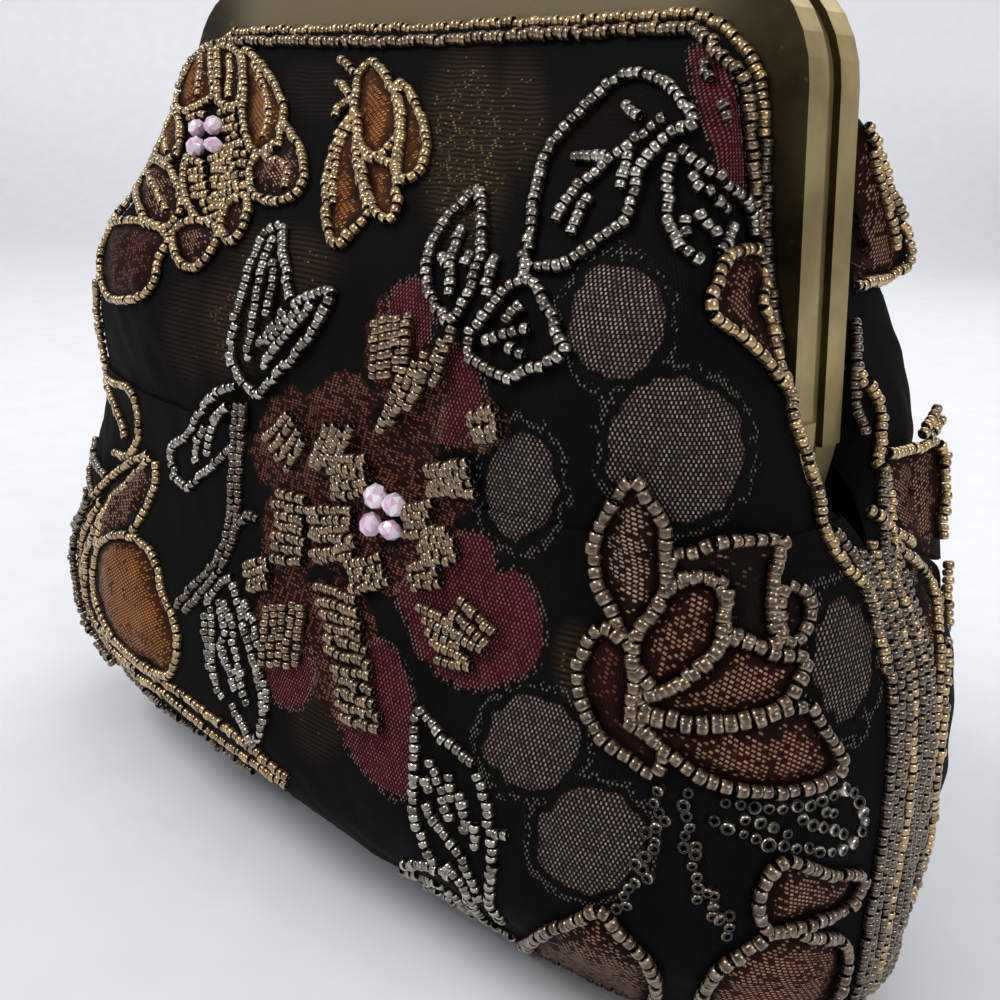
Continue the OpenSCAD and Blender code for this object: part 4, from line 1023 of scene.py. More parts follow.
# Gunmetal leaves
CLOSED_LEAVES = (0, 13, 18)
for k, line in enumerate(lines("""697,125 683,103 670,88 652,79 634,76 615,86 595,104 575,123 557,143 545,167 538,193
    536,218 532,243 527,266 540,271 565,268 583,255 605,238 628,220 636,195 643,170 658,148 678,133; 668,120 640,142
    610,165 585,187 563,213 556,225; 627,108 645,118; 575,160 600,160 612,158; 590,198 577,225 573,238; 632,155
    626,180 622,192; 675,155 670,178 667,203 669,228 683,250 700,265; 680,150 697,163 718,180 736,196 747,215
    750,238; 697,210 706,225 712,238; 683,215 684,228 686,240; 710,200 725,208; 690,175 700,190 712,188; 728,222
    724,240 716,254; 484,192 461,209 448,224 437,243 430,267 433,291 446,316 454,324 467,307 477,284 483,255 484,225;
    466,229 457,252 453,276 452,298; 444,259 448,269; 475,255 467,269; 497,260 491,286 487,299; 526,283 507,293
    490,314 475,333 470,354 482,365 500,374 516,378 530,368 548,366 565,354 559,333 550,310 538,289; 525,306 515,315
    508,325; 532,331 514,335 496,342 486,346; 509,350 518,353 529,355; 527,268 526,283; 285,225 268,238 257,262
    248,290 240,320 235,355 247,380 262,395; 288,228 286,245 290,270 295,300; 262,395 280,375 300,355 318,330 335,295
    312,298 298,306; 278,240 268,268 262,300 256,335 252,360; 280,262 276,290 270,318; 318,305 300,325 282,345
    266,366; 305,308 288,326 272,342; 290,310 275,330 262,345; 240,383 218,395 205,412 195,430 178,445 176,460
    184,482 195,485 210,470 238,447; 232,405 217,420; 210,425 200,450 203,462; 222,412 214,436 212,455; 213,598
    217,622 217,648 221,684 228,697; 222,600 230,625 226,650 235,670; 238,582 244,608 250,628; 213,598 228,580
    237,578; 240,665 245,680 253,705; 265,698 266,715 262,738; 250,628 256,650 262,672 266,698; 208,612 211,640
    215,668; 226,640 232,665 241,690; 228,600 237,625 239,650 247,676; 247,600 257,622 263,648; 236,702 247,724
    259,746; 257,655 268,680 271,710; 423,705 419,733 418,773 418,811 424,833 438,860; 423,707 437,727 452,742
    478,763; 480,770 487,795 494,830 496,852 493,878 495,900 505,915; 433,757 443,785 455,818; 428,775 434,790;
    452,770 456,800; 440,822 463,850 473,870 482,895; 478,820 478,835 477,847; 448,860 463,877 480,905 500,925;
    430,800 436,815 446,828; 462,790 468,812 470,830; 402,868 425,872 450,884 470,902 490,922 512,940; 408,860
    432,862 455,872; 440,892 462,910 485,932; 430,878 448,902 470,922; 495,834 512,834""")):
    string("upper_leaf" if max(p[1] for p in line) < 400 else "leaf", line, k in CLOSED_LEAVES, pitch=1.55, radius=1.02,
           jitter=0.2)
for line in lines("""716,801 741,803 774,805 804,802 829,793 843,787 856,800 862,824; 707,815 732,827 759,838
    785,845 811,848 832,850; 762,820 775,828; 795,812 814,825 842,833; 817,808 833,810; 735,815 760,822 790,834;
    862,824 850,838 832,850"""):
    string("leaf", line, pitch=2.35, radius=1.05, across=True, lift=0.5, size_noise=0.1)
for line in lines("""662,783 655,806 668,815 647,833 660,842 635,863 650,872 625,887 628,902 612,907; 688,785 683,808
    690,818 682,843 700,845 692,857 697,880 697,895 713,887 711,917 728,912 727,938"""):
    string("dark_stem", line, pitch=1.9, radius=1.0, across=True, lift=0.5)
for line in lines("""241,402 238,440 236,480 234,520 222,558 200,585 180,605; 248,402 245,442 243,482 241,522 229,562
    208,590 189,611; 240,527 252,515 262,520; 704,66 712,84; 722,104 728,122"""):
    string("stem", line, pitch=1.45, radius=0.98, jitter=0.2)

# Ropes along the seam edge by the hinge, and round the lower left corner
string("edge_rope", px("""785,385 789,418 805,468 812,490 816,517 820,530 826,543 832,555 840,565 848,575 858,585
    865,593 875,640 885,680"""), mirrored=True, pitch=1.4, radius=1.08, jitter=0.2)
string("seam_rope", px("828,530 839,546 851,561 863,575 873,591 882,612 889,640 894,668"),
       mirrored=True, **DENSE)
for line in lines("""92,628 118,650 140,672 172,694 220,733 262,762 290,782; 100,622 125,645 150,668 180,688 225,722
    262,752 292,775; 106,500 90,530 80,565 75,600 85,640 115,668; 113,505 97,535 87,570 83,605 96,640 125,664"""):
    string("petal_gold", line, pitch=1.45, radius=1.02, jitter=0.2)
for line, high in ((px("84,636 110,660 135,682 168,703 214,741 256,770"), 1.2),
                   (px("100,500 84,535 74,570 70,605 80,640 108,666"), 2.7)):
    string("petal_dark", line, **DENSE, lift=high)

# Left edge
for line in lines("""100,280 99,320 103,360 113,390 125,420 130,438; 112,380 135,390 141,412 143,435 134,456 118,452;
    152,453 128,468 105,488 90,512 80,545 78,580; 155,457 135,480 115,502 104,530 100,545; 160,462 160,485 147,515
    137,533; 90,560 92,600 110,640 140,668"""):
    string("petal_gold", line, **OPEN)
orange_petal = px("103,545 123,536 145,542 160,562 166,592 178,618 182,645 173,674 150,665 125,645 106,615 98,582")
left_petal = px("152,455 160,470 158,490 140,527 122,534 104,542 92,520 108,488 130,468")
patch("left_orange_petal", "orange", orange_petal, dome=1.8)
patch("left_petal", "rust", left_petal, dome=1.2)
string("petal_gold", orange_petal, True, **OPEN)
for line in lines("""80,485 74,515 69,545 66,588; 62,600 65,630 95,655 140,680; 84,440 92,470 98,500; 92,436 100,462
    110,478"""):
    string("petal_dark", line, pitch=1.9, radius=1.0)

# Middle flower: woven petals and raised clumps of beads
wine_petals = [
    px("396,288 420,278 434,300 431,330 418,352 398,345 388,318"),
    px("440,346 458,346 480,372 482,402 470,432 452,448 440,436 446,400"),
    px("400,590 412,625 428,660 465,688 500,684 535,668 546,635 538,595 518,568 500,572 490,536 455,536 440,570"),
    px("385,640 408,670 416,715 416,760 405,797 388,790 352,748 336,700 340,670 360,655"),
    px("262,640 262,670 280,702 305,706 315,680 312,650 290,655"),
    px("690,50 716,54 732,80 742,130 744,180 734,196 722,170 706,130 694,90"),
]
# Ovals: centre, width, height and turn in degrees
brown_petals = [
    (394, 345, 56, 112, 8), (430, 396, 84, 104, 30), (344, 402, 60, 62, 0), (288, 440, 64, 104, 12),
    (352, 452, 116, 58, -12), (404, 462, 70, 60, 0), (298, 524, 66, 118, 10), (346, 528, 88, 84, 0),
    (438, 500, 76, 56, -14), (482, 424, 54, 60, 0), (436, 556, 76, 70, 20), (344, 650, 84, 150, -14),
    (288, 616, 60, 92, 0), (392, 572, 60, 50, 0)]
for start, end, last, rows in (
        ((380, 380), (383, 322), (411, 374), 5), ((386, 430), (410, 374), (436, 386), 5),
        ((272, 440), (296, 412), (290, 468), 4), ((318, 466), (336, 422), (340, 470), 4),
        ((334, 462), (372, 456), (340, 494), 5), ((432, 466), (474, 460), (438, 494), 5),
        ((474, 414), (502, 408), (480, 438), 4), ((408, 508), (436, 502), (410, 536), 4),
        ((424, 536), (458, 528), (430, 562), 5), ((414, 566), (444, 560), (418, 586), 3),
        ((284, 492), (314, 498), (280, 556), 7), ((316, 510), (358, 508), (320, 558), 6),
        ((354, 562), (388, 558), (360, 588), 4), ((252, 564), (274, 560), (254, 590), 4),
        ((268, 664), (274, 604), (302, 664), 5), ((322, 586), (364, 600), (346, 714), 11),
        ((424, 606), (462, 622), (440, 654), 5), ((464, 600), (500, 630), (452, 622), 3)):
    clump("flower", start, end, last, rows, pitch=1.42, radius=1.0, lift=1.5)
LOWER_CRYSTALS = px("375,497 394,505 371,524 390,531")

# Rose
rose = {
    "a": px("664,520 650,497 636,477 618,496 602,524 597,552 602,585 615,610 628,637 648,618 664,592 663,555"),
    "b": px("""672,552 693,547 718,538 745,538 772,541 768,575 767,612 774,642 750,645 724,634 722,600 708,578
    684,576 668,582"""),
    "c": px("637,640 655,605 672,588 697,576 722,583 721,618 716,648 695,668 672,684 645,690 637,668"),
    "d": px("""637,664 640,696 660,712 700,719 745,715 780,702 791,682 799,660 772,655 745,640 725,637 712,655
    690,674 662,690"""),
    "e": px("605,625 590,648 582,675 588,700 600,728 622,750 655,771 664,752 650,730 636,712 634,685 634,655 626,636"),
    "f": px("""628,717 655,738 675,757 705,777 745,787 790,786 822,774 833,757 820,733 803,705 780,708 745,720
    700,724 655,716"""),
    "g": px("780,585 798,594 806,612 800,632 787,644 776,634 772,605"),
}
patch("rose_ground", "shade", px("""636,480 664,520 672,552 720,538 772,541 804,600 800,640 803,700 834,755 790,786
    700,775 655,771 600,728 582,675 604,625 596,555 610,505"""), lift=0.15, dome=0.5)
for key, line in rose.items():
    patch("rose_petal_" + key, {"b": "shade", "g": "shade", "a": "rose", "e": "wine"}.get(key, "rust"), line,
          lift=0.7, dome=1.5)
    string("rose", line, True, **HEAVY, lift=1.7)
string("rose", px("770,545 768,585 767,625 778,645"), **HEAVY, lift=1.7)

# Small bud by the leg, and the bottom petals
small_bud = px("722,260 745,250 768,260 766,278 757,303 768,325 780,350 783,388 765,366 738,338 708,312 714,285")
patch("small_bud", "rust", small_bud, dome=0.9)
string("upper_leaf_gold", small_bud, True, pitch=1.95, radius=1.05)
for k, line in enumerate(lines("""515,955 540,928 572,918 602,905 625,930 650,955 658,985 640,1012 590,1000 545,980;
    855,872 818,868 780,857 762,878 756,905 765,925 800,920 838,905; 838,940 800,930 772,926 742,945 715,965 700,1000
    715,1030 790,1030 830,990""")):
    patch(f"low_petal_{k}", "rust", line, dome=1.4)
    string("rose", line, True, **HEAVY, lift=1.5)

patch("rose_tuck", "rose", px("676,553 694,549 718,541 744,541 766,545 766,556 744,560 718,562 696,568 684,570"),
          lift=2.0, dome=0.3)

# Petals of the rear that show beside the frame
high_flap, waist_flap = flap(160, 262), flap(462, 545)
patch("rear_high_petal", "rust", px("""850,130 864,128 870,142 875,155 880,172 883,185 893,212 898,225 903,238
    905,252 898,268 888,275 875,280 862,283 850,287"""), rear=high_flap, lift=0.4, dome=0.6)
patch("rear_side_petal", "rust", px("""878,462 905,450 928,443 940,455 938,540 936,560 905,545 888,532 880,520
    876,490"""), rear=waist_flap, lift=0.4, dome=0.6)
patch("rear_waist_petal", "rust", px("""868,517 880,524 897,540 915,552 935,566 938,590 934,620 926,640 916,612
    900,585 886,566 872,548"""), rear=waist_flap, lift=0.5, dome=0.6)
for line in lines("""860,128 870,142 875,155 880,172 883,185 893,212 898,225 903,238 905,252 902,265 898,268 888,275
    875,280 862,283 850,287; 866,150 872,175 880,200 886,225 890,250"""):
    string("own_gold", line, rear=high_flap, **LOOSE)
for line in lines("""882,455 895,452 905,450 918,447 928,442 940,455 938,465 940,480 940,495 938,510 937,525 938,540;
    862,511 868,515 878,522 888,532 898,540 905,545; 885,548 898,555 910,565 920,575 928,590 932,605 930,620 926,635;
    942,560 942,580 940,600 942,615 938,630 932,645; 915,435 922,426 928,416 932,406; 922,437 929,428 935,418"""):
    string("own_gold", line, rear=waist_flap, **LOOSE)
for line in lines("850,320 853,360 855,400 866,435; 880,470 877,490 878,510"):
    string("own_dark", line, rear=waist_flap, **EDGE)


def on_rear(p):
    """Casts on the rear cloth, at its outline where the pixel lies beyond it."""
    return cast((min(p[0], rear_edge(p[1])[0] + 2), p[1]), True)


patch("rear_low_petal", "rust", px("""912,568 926,580 936,604 940,640 938,680 933,712 926,738 918,712 912,680 908,640
    908,600"""), rear=on_rear, lift=0.4, dome=0.6)
for group, line in (("own_gold", px("941,640 940,670 938,700 935,735 930,775 926,815 919,865 913,915 907,955")),
                    ("own_gold", px("926,585 931,612 933,650 932,690 928,730 922,772")),
                    ("own_dark", px("922,740 922,780 917,820 911,870 905,915 899,955"))):
    string(group, line, rear=on_rear, **EDGE)

# Woven motifs of the ground: round dotted ones, wine-red petals and brushed gold areas
dot_circles = [(617, 322, 96, 116), (676, 450, 138, 146), (521, 486, 70, 104), (534, 742, 96, 94),
               (592, 838, 108, 104), (840, 658, 58, 122)]
gold_areas = [(466, 150, 90, 200, 1.0), (520, 115, 60, 130, 0.7), (232, 325, 70, 110, 0.8),
              (285, 262, 110, 80, 0.7), (330, 90, 120, 70, 0.4), (600, 130, 160, 120, 0.25),
              (575, 660, 40, 80, 0.75), (190, 330, 60, 120, 0.5), (320, 720, 60, 90, 0.5), (470, 560, 60, 60, 0.3)]
mm_per_px = np.linalg.norm(flat_p - EYE, axis=1) / FOCAL_PX
dots, wine, brown = (np.full(len(flat_p), -50.0) for _ in range(3))
lurex = np.zeros(len(flat_p))
px_seen = flat_px[facing_ids]
ragged = 0.7 * wander(flat_uv[facing_ids, 0], flat_uv[facing_ids, 1], 21, 10, 2.5, 7)
for field, ovals in ((dots, dot_circles), (brown, brown_petals)):
    for oval in ovals:
        away = (1 - oval_reach(px_seen, *oval)) * min(oval[2:4]) / 2 * mm_per_px[facing_ids] + ragged * 0.5
        field[facing_ids] = np.maximum(field[facing_ids], away)
for line in wine_petals:
    near = edge_distance(px_seen, curve_through(line, True, 6.0)) * mm_per_px[facing_ids]
    away = np.where(inside_polygon(px_seen, line), near, -near)
    wine[facing_ids] = np.maximum(wine[facing_ids], away)
for *oval, amount in gold_areas:
    lurex[facing_ids] = np.maximum(lurex[facing_ids], amount * smooth(1.5 - oval_reach(px_seen, *oval)))

# The stitches draw the cloth in a little along every bead line
STITCH_REACH, STITCH_PULL = 2.8, 0.4
pull = np.zeros(len(flat_p))
cells, CELL = {}, 3
for spot in np.concatenate(stitch_lines):
    cells.setdefault(tuple((spot // CELL).astype(int)), []).append(spot)
for i, key in enumerate(map(tuple, (flat_p // CELL).astype(int))):
    near = [s for dx in (-1, 0, 1) for dy in (-1, 0, 1) for dz in (-1, 0, 1)
            for s in cells.get((key[0] + dx, key[1] + dy, key[2] + dz), ())]
    if near:
        d = np.linalg.norm(np.array(near) - flat_p[i], axis=1).min()
        pull[i] = max(0.0, 1 - d / STITCH_REACH) ** 2
flat_p = flat_p - flat_n * (pull * STITCH_PULL)[:, None]


def smoothing_group():
    group = bpy.data.node_groups.new("even_shading", "GeometryNodeTree")
    group.interface.new_socket("Geometry", in_out="INPUT", socket_type="NodeSocketGeometry")
    group.interface.new_socket("Geometry", in_out="OUTPUT", socket_type="NodeSocketGeometry")
    start, end = group.nodes.new("NodeGroupInput"), group.nodes.new("NodeGroupOutput")
    faces = group.nodes.new("GeometryNodeSetShadeSmooth")
    faces.domain = "FACE"
    edges = group.nodes.new("GeometryNodeSetShadeSmooth")
    edges.domain = "EDGE"
    edges.inputs["Shade Smooth"].default_value = False
    angle = group.nodes.new("GeometryNodeInputMeshEdgeAngle")
    sharp = group.nodes.new("FunctionNodeCompare")
    sharp.inputs[1].default_value = math.radians(32)
    group.links.new(start.outputs[0], faces.inputs[0])
    group.links.new(faces.outputs[0], edges.inputs[0])
    group.links.new(angle.outputs[0], sharp.inputs[0])
    group.links.new(sharp.outputs[0], edges.inputs["Selection"])
    group.links.new(edges.outputs[0], end.inputs[0])
    return group


EVEN = smoothing_group()


def cloth_piece(name, first, last, side, part, nodes):
    rows = slice(first, last + 1)
    cols = len(cloth_a)
    ids = np.arange(len(cloth_z) * cols).reshape(len(cloth_z), cols)[rows].ravel()
    faces = grid_faces(last - first + 1, cols)
    verts = turned(flat_p[ids], side)
    obj = make_mesh(name, verts, facing_out(faces, verts, side), uv=flat_uv[ids],
                    values={"dots": dots[ids], "wine": wine[ids], "lurex": lurex[ids], "brown": brown[ids]})
    weld(obj)
    thicken(obj, cloth_t * 0.7)
    obj.modifiers.new("even_shading", "NODES").node_group = EVEN
    finish_with(obj, "brocade")
    place(obj, side, part)
    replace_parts(obj, *nodes)


for side in ("front", "rear"):
    cloth_piece(side + "_upper_cloth", HINGE_ROW, len(cloth_z) - 1, side, "upper",
                [side + "_upper_panel", side + "_fold"])
    cloth_piece(side + "_lower_cloth", 0, HINGE_ROW, side, "lower", [side + "_lower_panel"])


def core_sheet(name, key, z0, z1, depth, thick, edge, side, part, nodes, reach=90, cols=72, seed=1, slack=0.3):
    """Inner layer from height z0 to z1, as far round as reach in degrees."""
    a = even(np.linspace(-reach, reach, cols + 1))
    z = np.linspace(z0, z1, max(6, int((z1 - z0) / 2.5)) + 1)
    p = core(a[None, :], z[:, None], depth, edge)
    n = grid_normals(p)
    u = run_along(p, 1)
    v = np.broadcast_to(z[:, None], u.shape)
    calm_u = smooth((reach - np.abs(a)) / 12)[None, :]
    p = p + n * (slack * np.clip(wander(u, v * 0.3, seed, 10, 9, 30) - 0.7, -2.5, 0) * calm_u)[..., None]
    verts = turned(p.reshape(-1, 3), side)
    faces = facing_out(grid_faces(len(z), len(a)), verts, side)
    obj = make_mesh(name, verts, faces, uv=np.stack([u, v], -1).reshape(-1, 2))
    thicken(obj, thick)
    finish_with(obj, key)
    place(obj, side, part)
    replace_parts(obj, *nodes)
    return obj


# Wadding, lining and pocket, in the places of the part's own layers
cord_r, nip_gap = 0.8, 0.2
cord_y = frame_y - sheet_t - nip_gap - cloth_t * 0.8 - nip_gap - cord_r
lining_y = cord_y - cord_r - nip_gap
padding_depth = panel_low = cloth_t + soft_gap
lining_off = max(top_d - lining_y, padding_depth + padding_t + soft_gap)
wadding_depth, wadding_reach, wadding_stop = padding_depth + 1.3, 68, 6
inside_low = panel_low + board_t + soft_gap
hem_top = inner_top - cloth_t - 3 * soft_gap
for side in ("front", "rear"):
    pad = core_sheet(side + "_upper_wadding", "wadding", hinge_h, hem_top - wadding_stop, wadding_depth,
                     padding_t - 2.2, lining_y + lining_t, side, "upper", [side + "_upper_padding"],
                     reach=wadding_reach, slack=0.12)
    pad = core_sheet(side + "_lower_wadding", "wadding", inside_low, hinge_h - 0.1, wadding_depth, padding_t - 2.0,
                     soft_gap, side, "lower", [side + "_lower_padding"], reach=wadding_reach, slack=0.12)
    core_sheet(side + "_upper_satin", "lining", hinge_h, hem_top, lining_off, lining_t, lining_y - lining_t,
               side, "upper", [side + "_upper_lining", side + "_lining_fold"], seed=11)
pocket_low = hinge_h * 0.36
pocket_depth = lining_off + lining_t + 2.5 * soft_gap
pocket_half = float(core([90.0], [pocket_low], pocket_depth, 0)[0, 0])
pocket_reach = math.degrees(math.asin((pocket_w / 2 / pocket_half) ** (low_power / 2)))
core_sheet("inner_slip_pocket", "pocket", pocket_low, pocket_low + pocket_h, pocket_depth, lining_t, 0, "rear",
           "lower", ["inner_pocket"], reach=pocket_reach, cols=40, seed=12, slack=0.2)


def ring_sack(name, key, heights, depth, thick, nodes):
    """Closed sack of the inner lining: front and rear halves joined, with a floor."""
    a = even(np.linspace(-90, 90, 73))[:-1]
    rings = []
    for z in heights:
        p = core(a, np.full(len(a), z), depth, soft_gap / 2)
        rings.append(np.concatenate([p, p * [-1, -1, 1]]))
    rings = np.array(rings)
    low = rings[0]
    caps = [low * [s, s, 1] + [0, 0, 0.3 * (1 - s)] for s in (0.02, 0.3, 0.55, 0.75, 0.9, 0.97)]
    p = np.concatenate([np.array(caps), rings])
    n = grid_normals(p)
    along = np.cumsum(np.linalg.norm(np.diff(rings[3], axis=0, prepend=rings[3][-1:]), axis=1))
    u = np.broadcast_to(along[None, :], p.shape[:2])
    folds = 0.35 * np.clip(wander(u, p[..., 2] * 0.3, 15, 10, 9, 30) - 0.8, -3, 0) * (np.arange(len(p)) > 8)[:, None]
    away = p.copy()
    away[..., 2] = 0
    away /= np.maximum(np.linalg.norm(away, axis=-1, keepdims=True), 1e-6)
    p = p + away * folds[..., None]
    faces = grid_faces(len(p), p.shape[1], closed=True)
    obj = make_mesh(name, p.reshape(-1, 3), faces, uv=np.stack([u, p[..., 2]], -1).reshape(-1, 2))
    with mesh_edit(obj) as bm:
        bmesh.ops.remove_doubles(bm, verts=bm.verts, dist=0.01 * MM)
        bmesh.ops.recalc_face_normals(bm, faces=bm.faces)
    thicken(obj, thick)
    finish_with(obj, key)
    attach(obj, "pouch")
    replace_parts(obj, *nodes)


ring_sack("lower_satin", "lining", np.linspace(inside_low, hinge_h - soft_gap, 34), lining_off, lining_t,
          ["lower_lining"])


def boxy_circle(t):
    """Unit outline of the base at the angles t."""
    return (np.sign(f(t)) * np.abs(f(t)) ** (2 / low_power) for f in (np.cos, np.sin))


def base_cloth():
    """Base cloth, rounded at its rim and a little uneven underneath."""
    t = np.linspace(0, 2 * math.pi, 160, endpoint=False)
    c, s = boxy_circle(t)
    w, d = float(half_w(0)), float(half_d(0))
    rows = []
    for inset, z in ((40, 0.02), (26, 0.0), (14, 0.0), (7, 0.0), (3, 0.0), (1.1, 0.0), (0.5, 0.1), (0.15, 0.3),
                     (0, 0.6), (0.1, 0.85), (0.5, 1.0), (7, 1.0), (20, 1.0), (40, 1.0)):
        share = 1 - inset / 45.0 if inset > 2 else None
        rx, ry = (w - inset, d - inset) if share is None else (w * share, d * share)
        rows.append(np.stack([rx * c, ry * s, np.full(len(t), z)], -1))
    p3 = np.array(rows)
    wav = np.abs(wander(p3[..., 0], p3[..., 1], 31, 10, 20, 60)) * 0.12
    p3[..., 2] += wav * (p3[..., 2] < 0.05)
    faces = grid_faces(len(rows), len(t), closed=True)
    n = len(t)
    verts = np.concatenate([p3.reshape(-1, 3), [[0, 0, 0.05]], [[0, 0, 1.0]]])
    obj = make_mesh("base_cloth", verts, faces, uv=verts[:, :2])
    with mesh_edit(obj) as bm:
        bm.verts.ensure_lookup_table()
        uv_layer = bm.loops.layers.uv.active
        for k in range(n):
            for centre, row in ((len(rows) * n, 0), (len(rows) * n + 1, len(rows) - 1)):
                f = bm.faces.new([bm.verts[centre], bm.verts[row * n + k], bm.verts[row * n + (k + 1) % n]])
                for loop in f.loops:
                    loop[uv_layer].uv = loop.vert.co.xy
        bmesh.ops.recalc_face_normals(bm, faces=bm.faces)
    obj.data.shade_smooth()
    finish_with(obj, "brocade")
    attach(obj, "pouch")
    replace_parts(obj, "base_panel")


base_cloth()


def build_patch(item, side):
    """Petal as a closed sheet, cut in two where it crosses the hinge line at the front or back."""
    top, under, tris = item["top"], item["under"], item["tris"]
    count = len(top)
    pairs = {}
    for f in tris:
        for a, b in ((f[0], f[1]), (f[1], f[2]), (f[2], f[0])):
            pairs[(a, b)] = True
    walls = []
    for a, b in pairs:
        if (b, a) not in pairs:
            walls += [[b, a, a + count], [b, a + count, b + count]]
    faces = np.concatenate([tris, tris[:, ::-1] + count, np.array(walls, np.int32).reshape(-1, 3)])
    verts = np.concatenate([top, under])
    z = verts[faces].mean(1)[:, 2]
    name = f"{side}_{item['name']}" if not item["rear"] else item["name"]
    near, wide = 1, 42
    split = z.min() < hinge_h - near < hinge_h + near < z.max() and np.abs(top[:, 1]).min() < wide
    parts = [("upper", z > hinge_h), ("lower", z <= hinge_h)] if split else [
        ("upper" if z.max() > hinge_h + near else "lower", np.ones(len(faces), bool))]
    flip_side = "front" if item["rear"] else side
    values = {"edge": np.tile(item["edge"], 2), "tone": np.full(2 * count, item["tone"])}
    for part, chosen in parts:
        used, new = np.unique(faces[chosen].ravel(), return_inverse=True)
        obj = make_mesh(name + ("_" + part if split else ""), turned(verts[used], flip_side),
                        new.reshape(-1, 3), uv=np.tile(item["uv"], (2, 1))[used],
                        values={k: v[used] for k, v in values.items()})
        finish_with(obj, item["key"])
        place(obj, side, part)


GROUPS = {
    "upper_flower": ("gold", ["front_upper_flower_beads"]), "upper_leaf": ("silver", ["front_upper_leaf_beads"]),
    "upper_leaf_gold": ("gold", []), "leaf": ("silver", ["front_leaf_beads"]), "dark_stem": ("dark", []),
    "stem": ("stem", []), "petal_gold": ("gold", ["front_petal_beads"]), "petal_dark": ("copper", []),
    "flower": ("amber", ["front_flower_beads"]), "edge_rope": ("gold", []), "seam_rope": ("umber", []),
    "rose": ("copper", ["front_rose_beads"]),
}
REAR_NODES = {"upper_flower": ["rear_upper_beads"], "rose": ["rear_lower_beads"]}
for item in patches:
    if item["rear"]:
        build_patch(item, "rear")
    else:
        for side in ("front", "rear"):
            build_patch(item, side)
for group, (key, nodes) in GROUPS.items():
    for side in ("front", "rear"):
        made = bags[group].build(group + "_beads", key, side)
        stands = nodes if side == "front" else REAR_NODES.get(group, [])
        if stands:
            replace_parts(made[-1], *stands)
for group, key in (("own_gold", "gold"), ("own_dark", "dark")):
    bags[group].build(group + "_beads", key, "rear", own=True)


def crystal_cluster(name, pixels, side, part, node):
    """Four faceted glass beads sewn close together."""
    verts, faces = [], []
    r = np.random.default_rng(17)
    sides, shape = 7, [(-1.0, 0.3), (-0.55, 0.84), (0.0, 1.04), (0.55, 0.84), (1.0, 0.3)]
    for p in pixels:
        spot, n, _ = cast(p)
        spot, n, _ = cast(2 * np.array(p) - to_px((spot + n * crystal_r)[None])[0])
        t = np.cross(n, [0, 0, 1]) + r.normal(0, 0.35, 3)
        t /= np.linalg.norm(t)
        b = np.cross(n, t)
        up = np.cross(t, b)
        centre = spot + n * crystal_r
        base = len(verts)
        for k, (along, wide) in enumerate(shape):
            for s in range(sides):
                ang = 2 * math.pi * (s + 0.5 * (k % 2)) / sides
                verts.append(centre + t * along * crystal_r * 0.95
                             + (up * math.cos(ang) + b * math.sin(ang)) * wide * crystal_r * 1.02)
        for k in range(len(shape) - 1):
            for s in range(sides):
                a0, a1 = base + k * sides + s, base + k * sides + (s + 1) % sides
                b0, b1 = a0 + sides, a1 + sides
                faces += [[a0, a1, b0], [a1, b1, b0]] if k % 2 == 0 else [[a0, a1, b1], [a0, b1, b0]]
        for k, order in ((0, -1), (len(shape) - 1, 1)):
            ring = [base + k * sides + s for s in range(sides)]
            hub = len(verts)
            verts.append(centre + t * crystal_r * (0.95 if k else -0.95))
            for s in range(sides):
                faces.append([hub, ring[s], ring[(s + 1) % sides]][::order])
    verts = turned(np.array(verts), side)
    obj = make_mesh(name, verts, faces, smooth_shade=False)
    # Painted glints: random facets are made pale to near-white
    painted_facet_glint = np.random.default_rng(5).uniform(0, 1, len(obj.data.polygons)) ** 1.3
    obj.data.attributes.new("tone", "FLOAT", "FACE").data.foreach_set("value", painted_facet_glint.astype(np.float32))
    with mesh_edit(obj) as bm:
        bmesh.ops.recalc_face_normals(bm, faces=bm.faces)
    finish_with(obj, "crystal")
    place(obj, side, part)
    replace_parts(obj, node)


for side in ("front", "rear"):
    crystal_cluster(side + "_upper_crystal_cluster", UPPER_CRYSTALS, side, "upper", side + "_upper_crystals")
    crystal_cluster(side + "_lower_crystal_cluster", LOWER_CRYSTALS, side, "lower", side + "_lower_crystals")

# Bead rope round the base
steps = np.linspace(0, 2 * math.pi, 400, endpoint=False)
height = panel_low + bead_r / 2
base_x, base_y = boxy_circle(steps)
rope = np.stack([(half_w(height) + bead_r + soft_gap * 0.5) * base_x,
                 (half_d(height) + bead_r + soft_gap * 0.5) * base_y, np.full(len(steps), height)], -1)
base_bag = BeadBag()
base_bag.row(rope, np.tile([0, 0, 1.0], (len(rope), 1)), closed=True, lift=0.0, pitch=1.9, jitter=0.08)
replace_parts(base_bag.build("base_rope_beads", "dark", "front", cut=False)[0], "base_bead_piping")

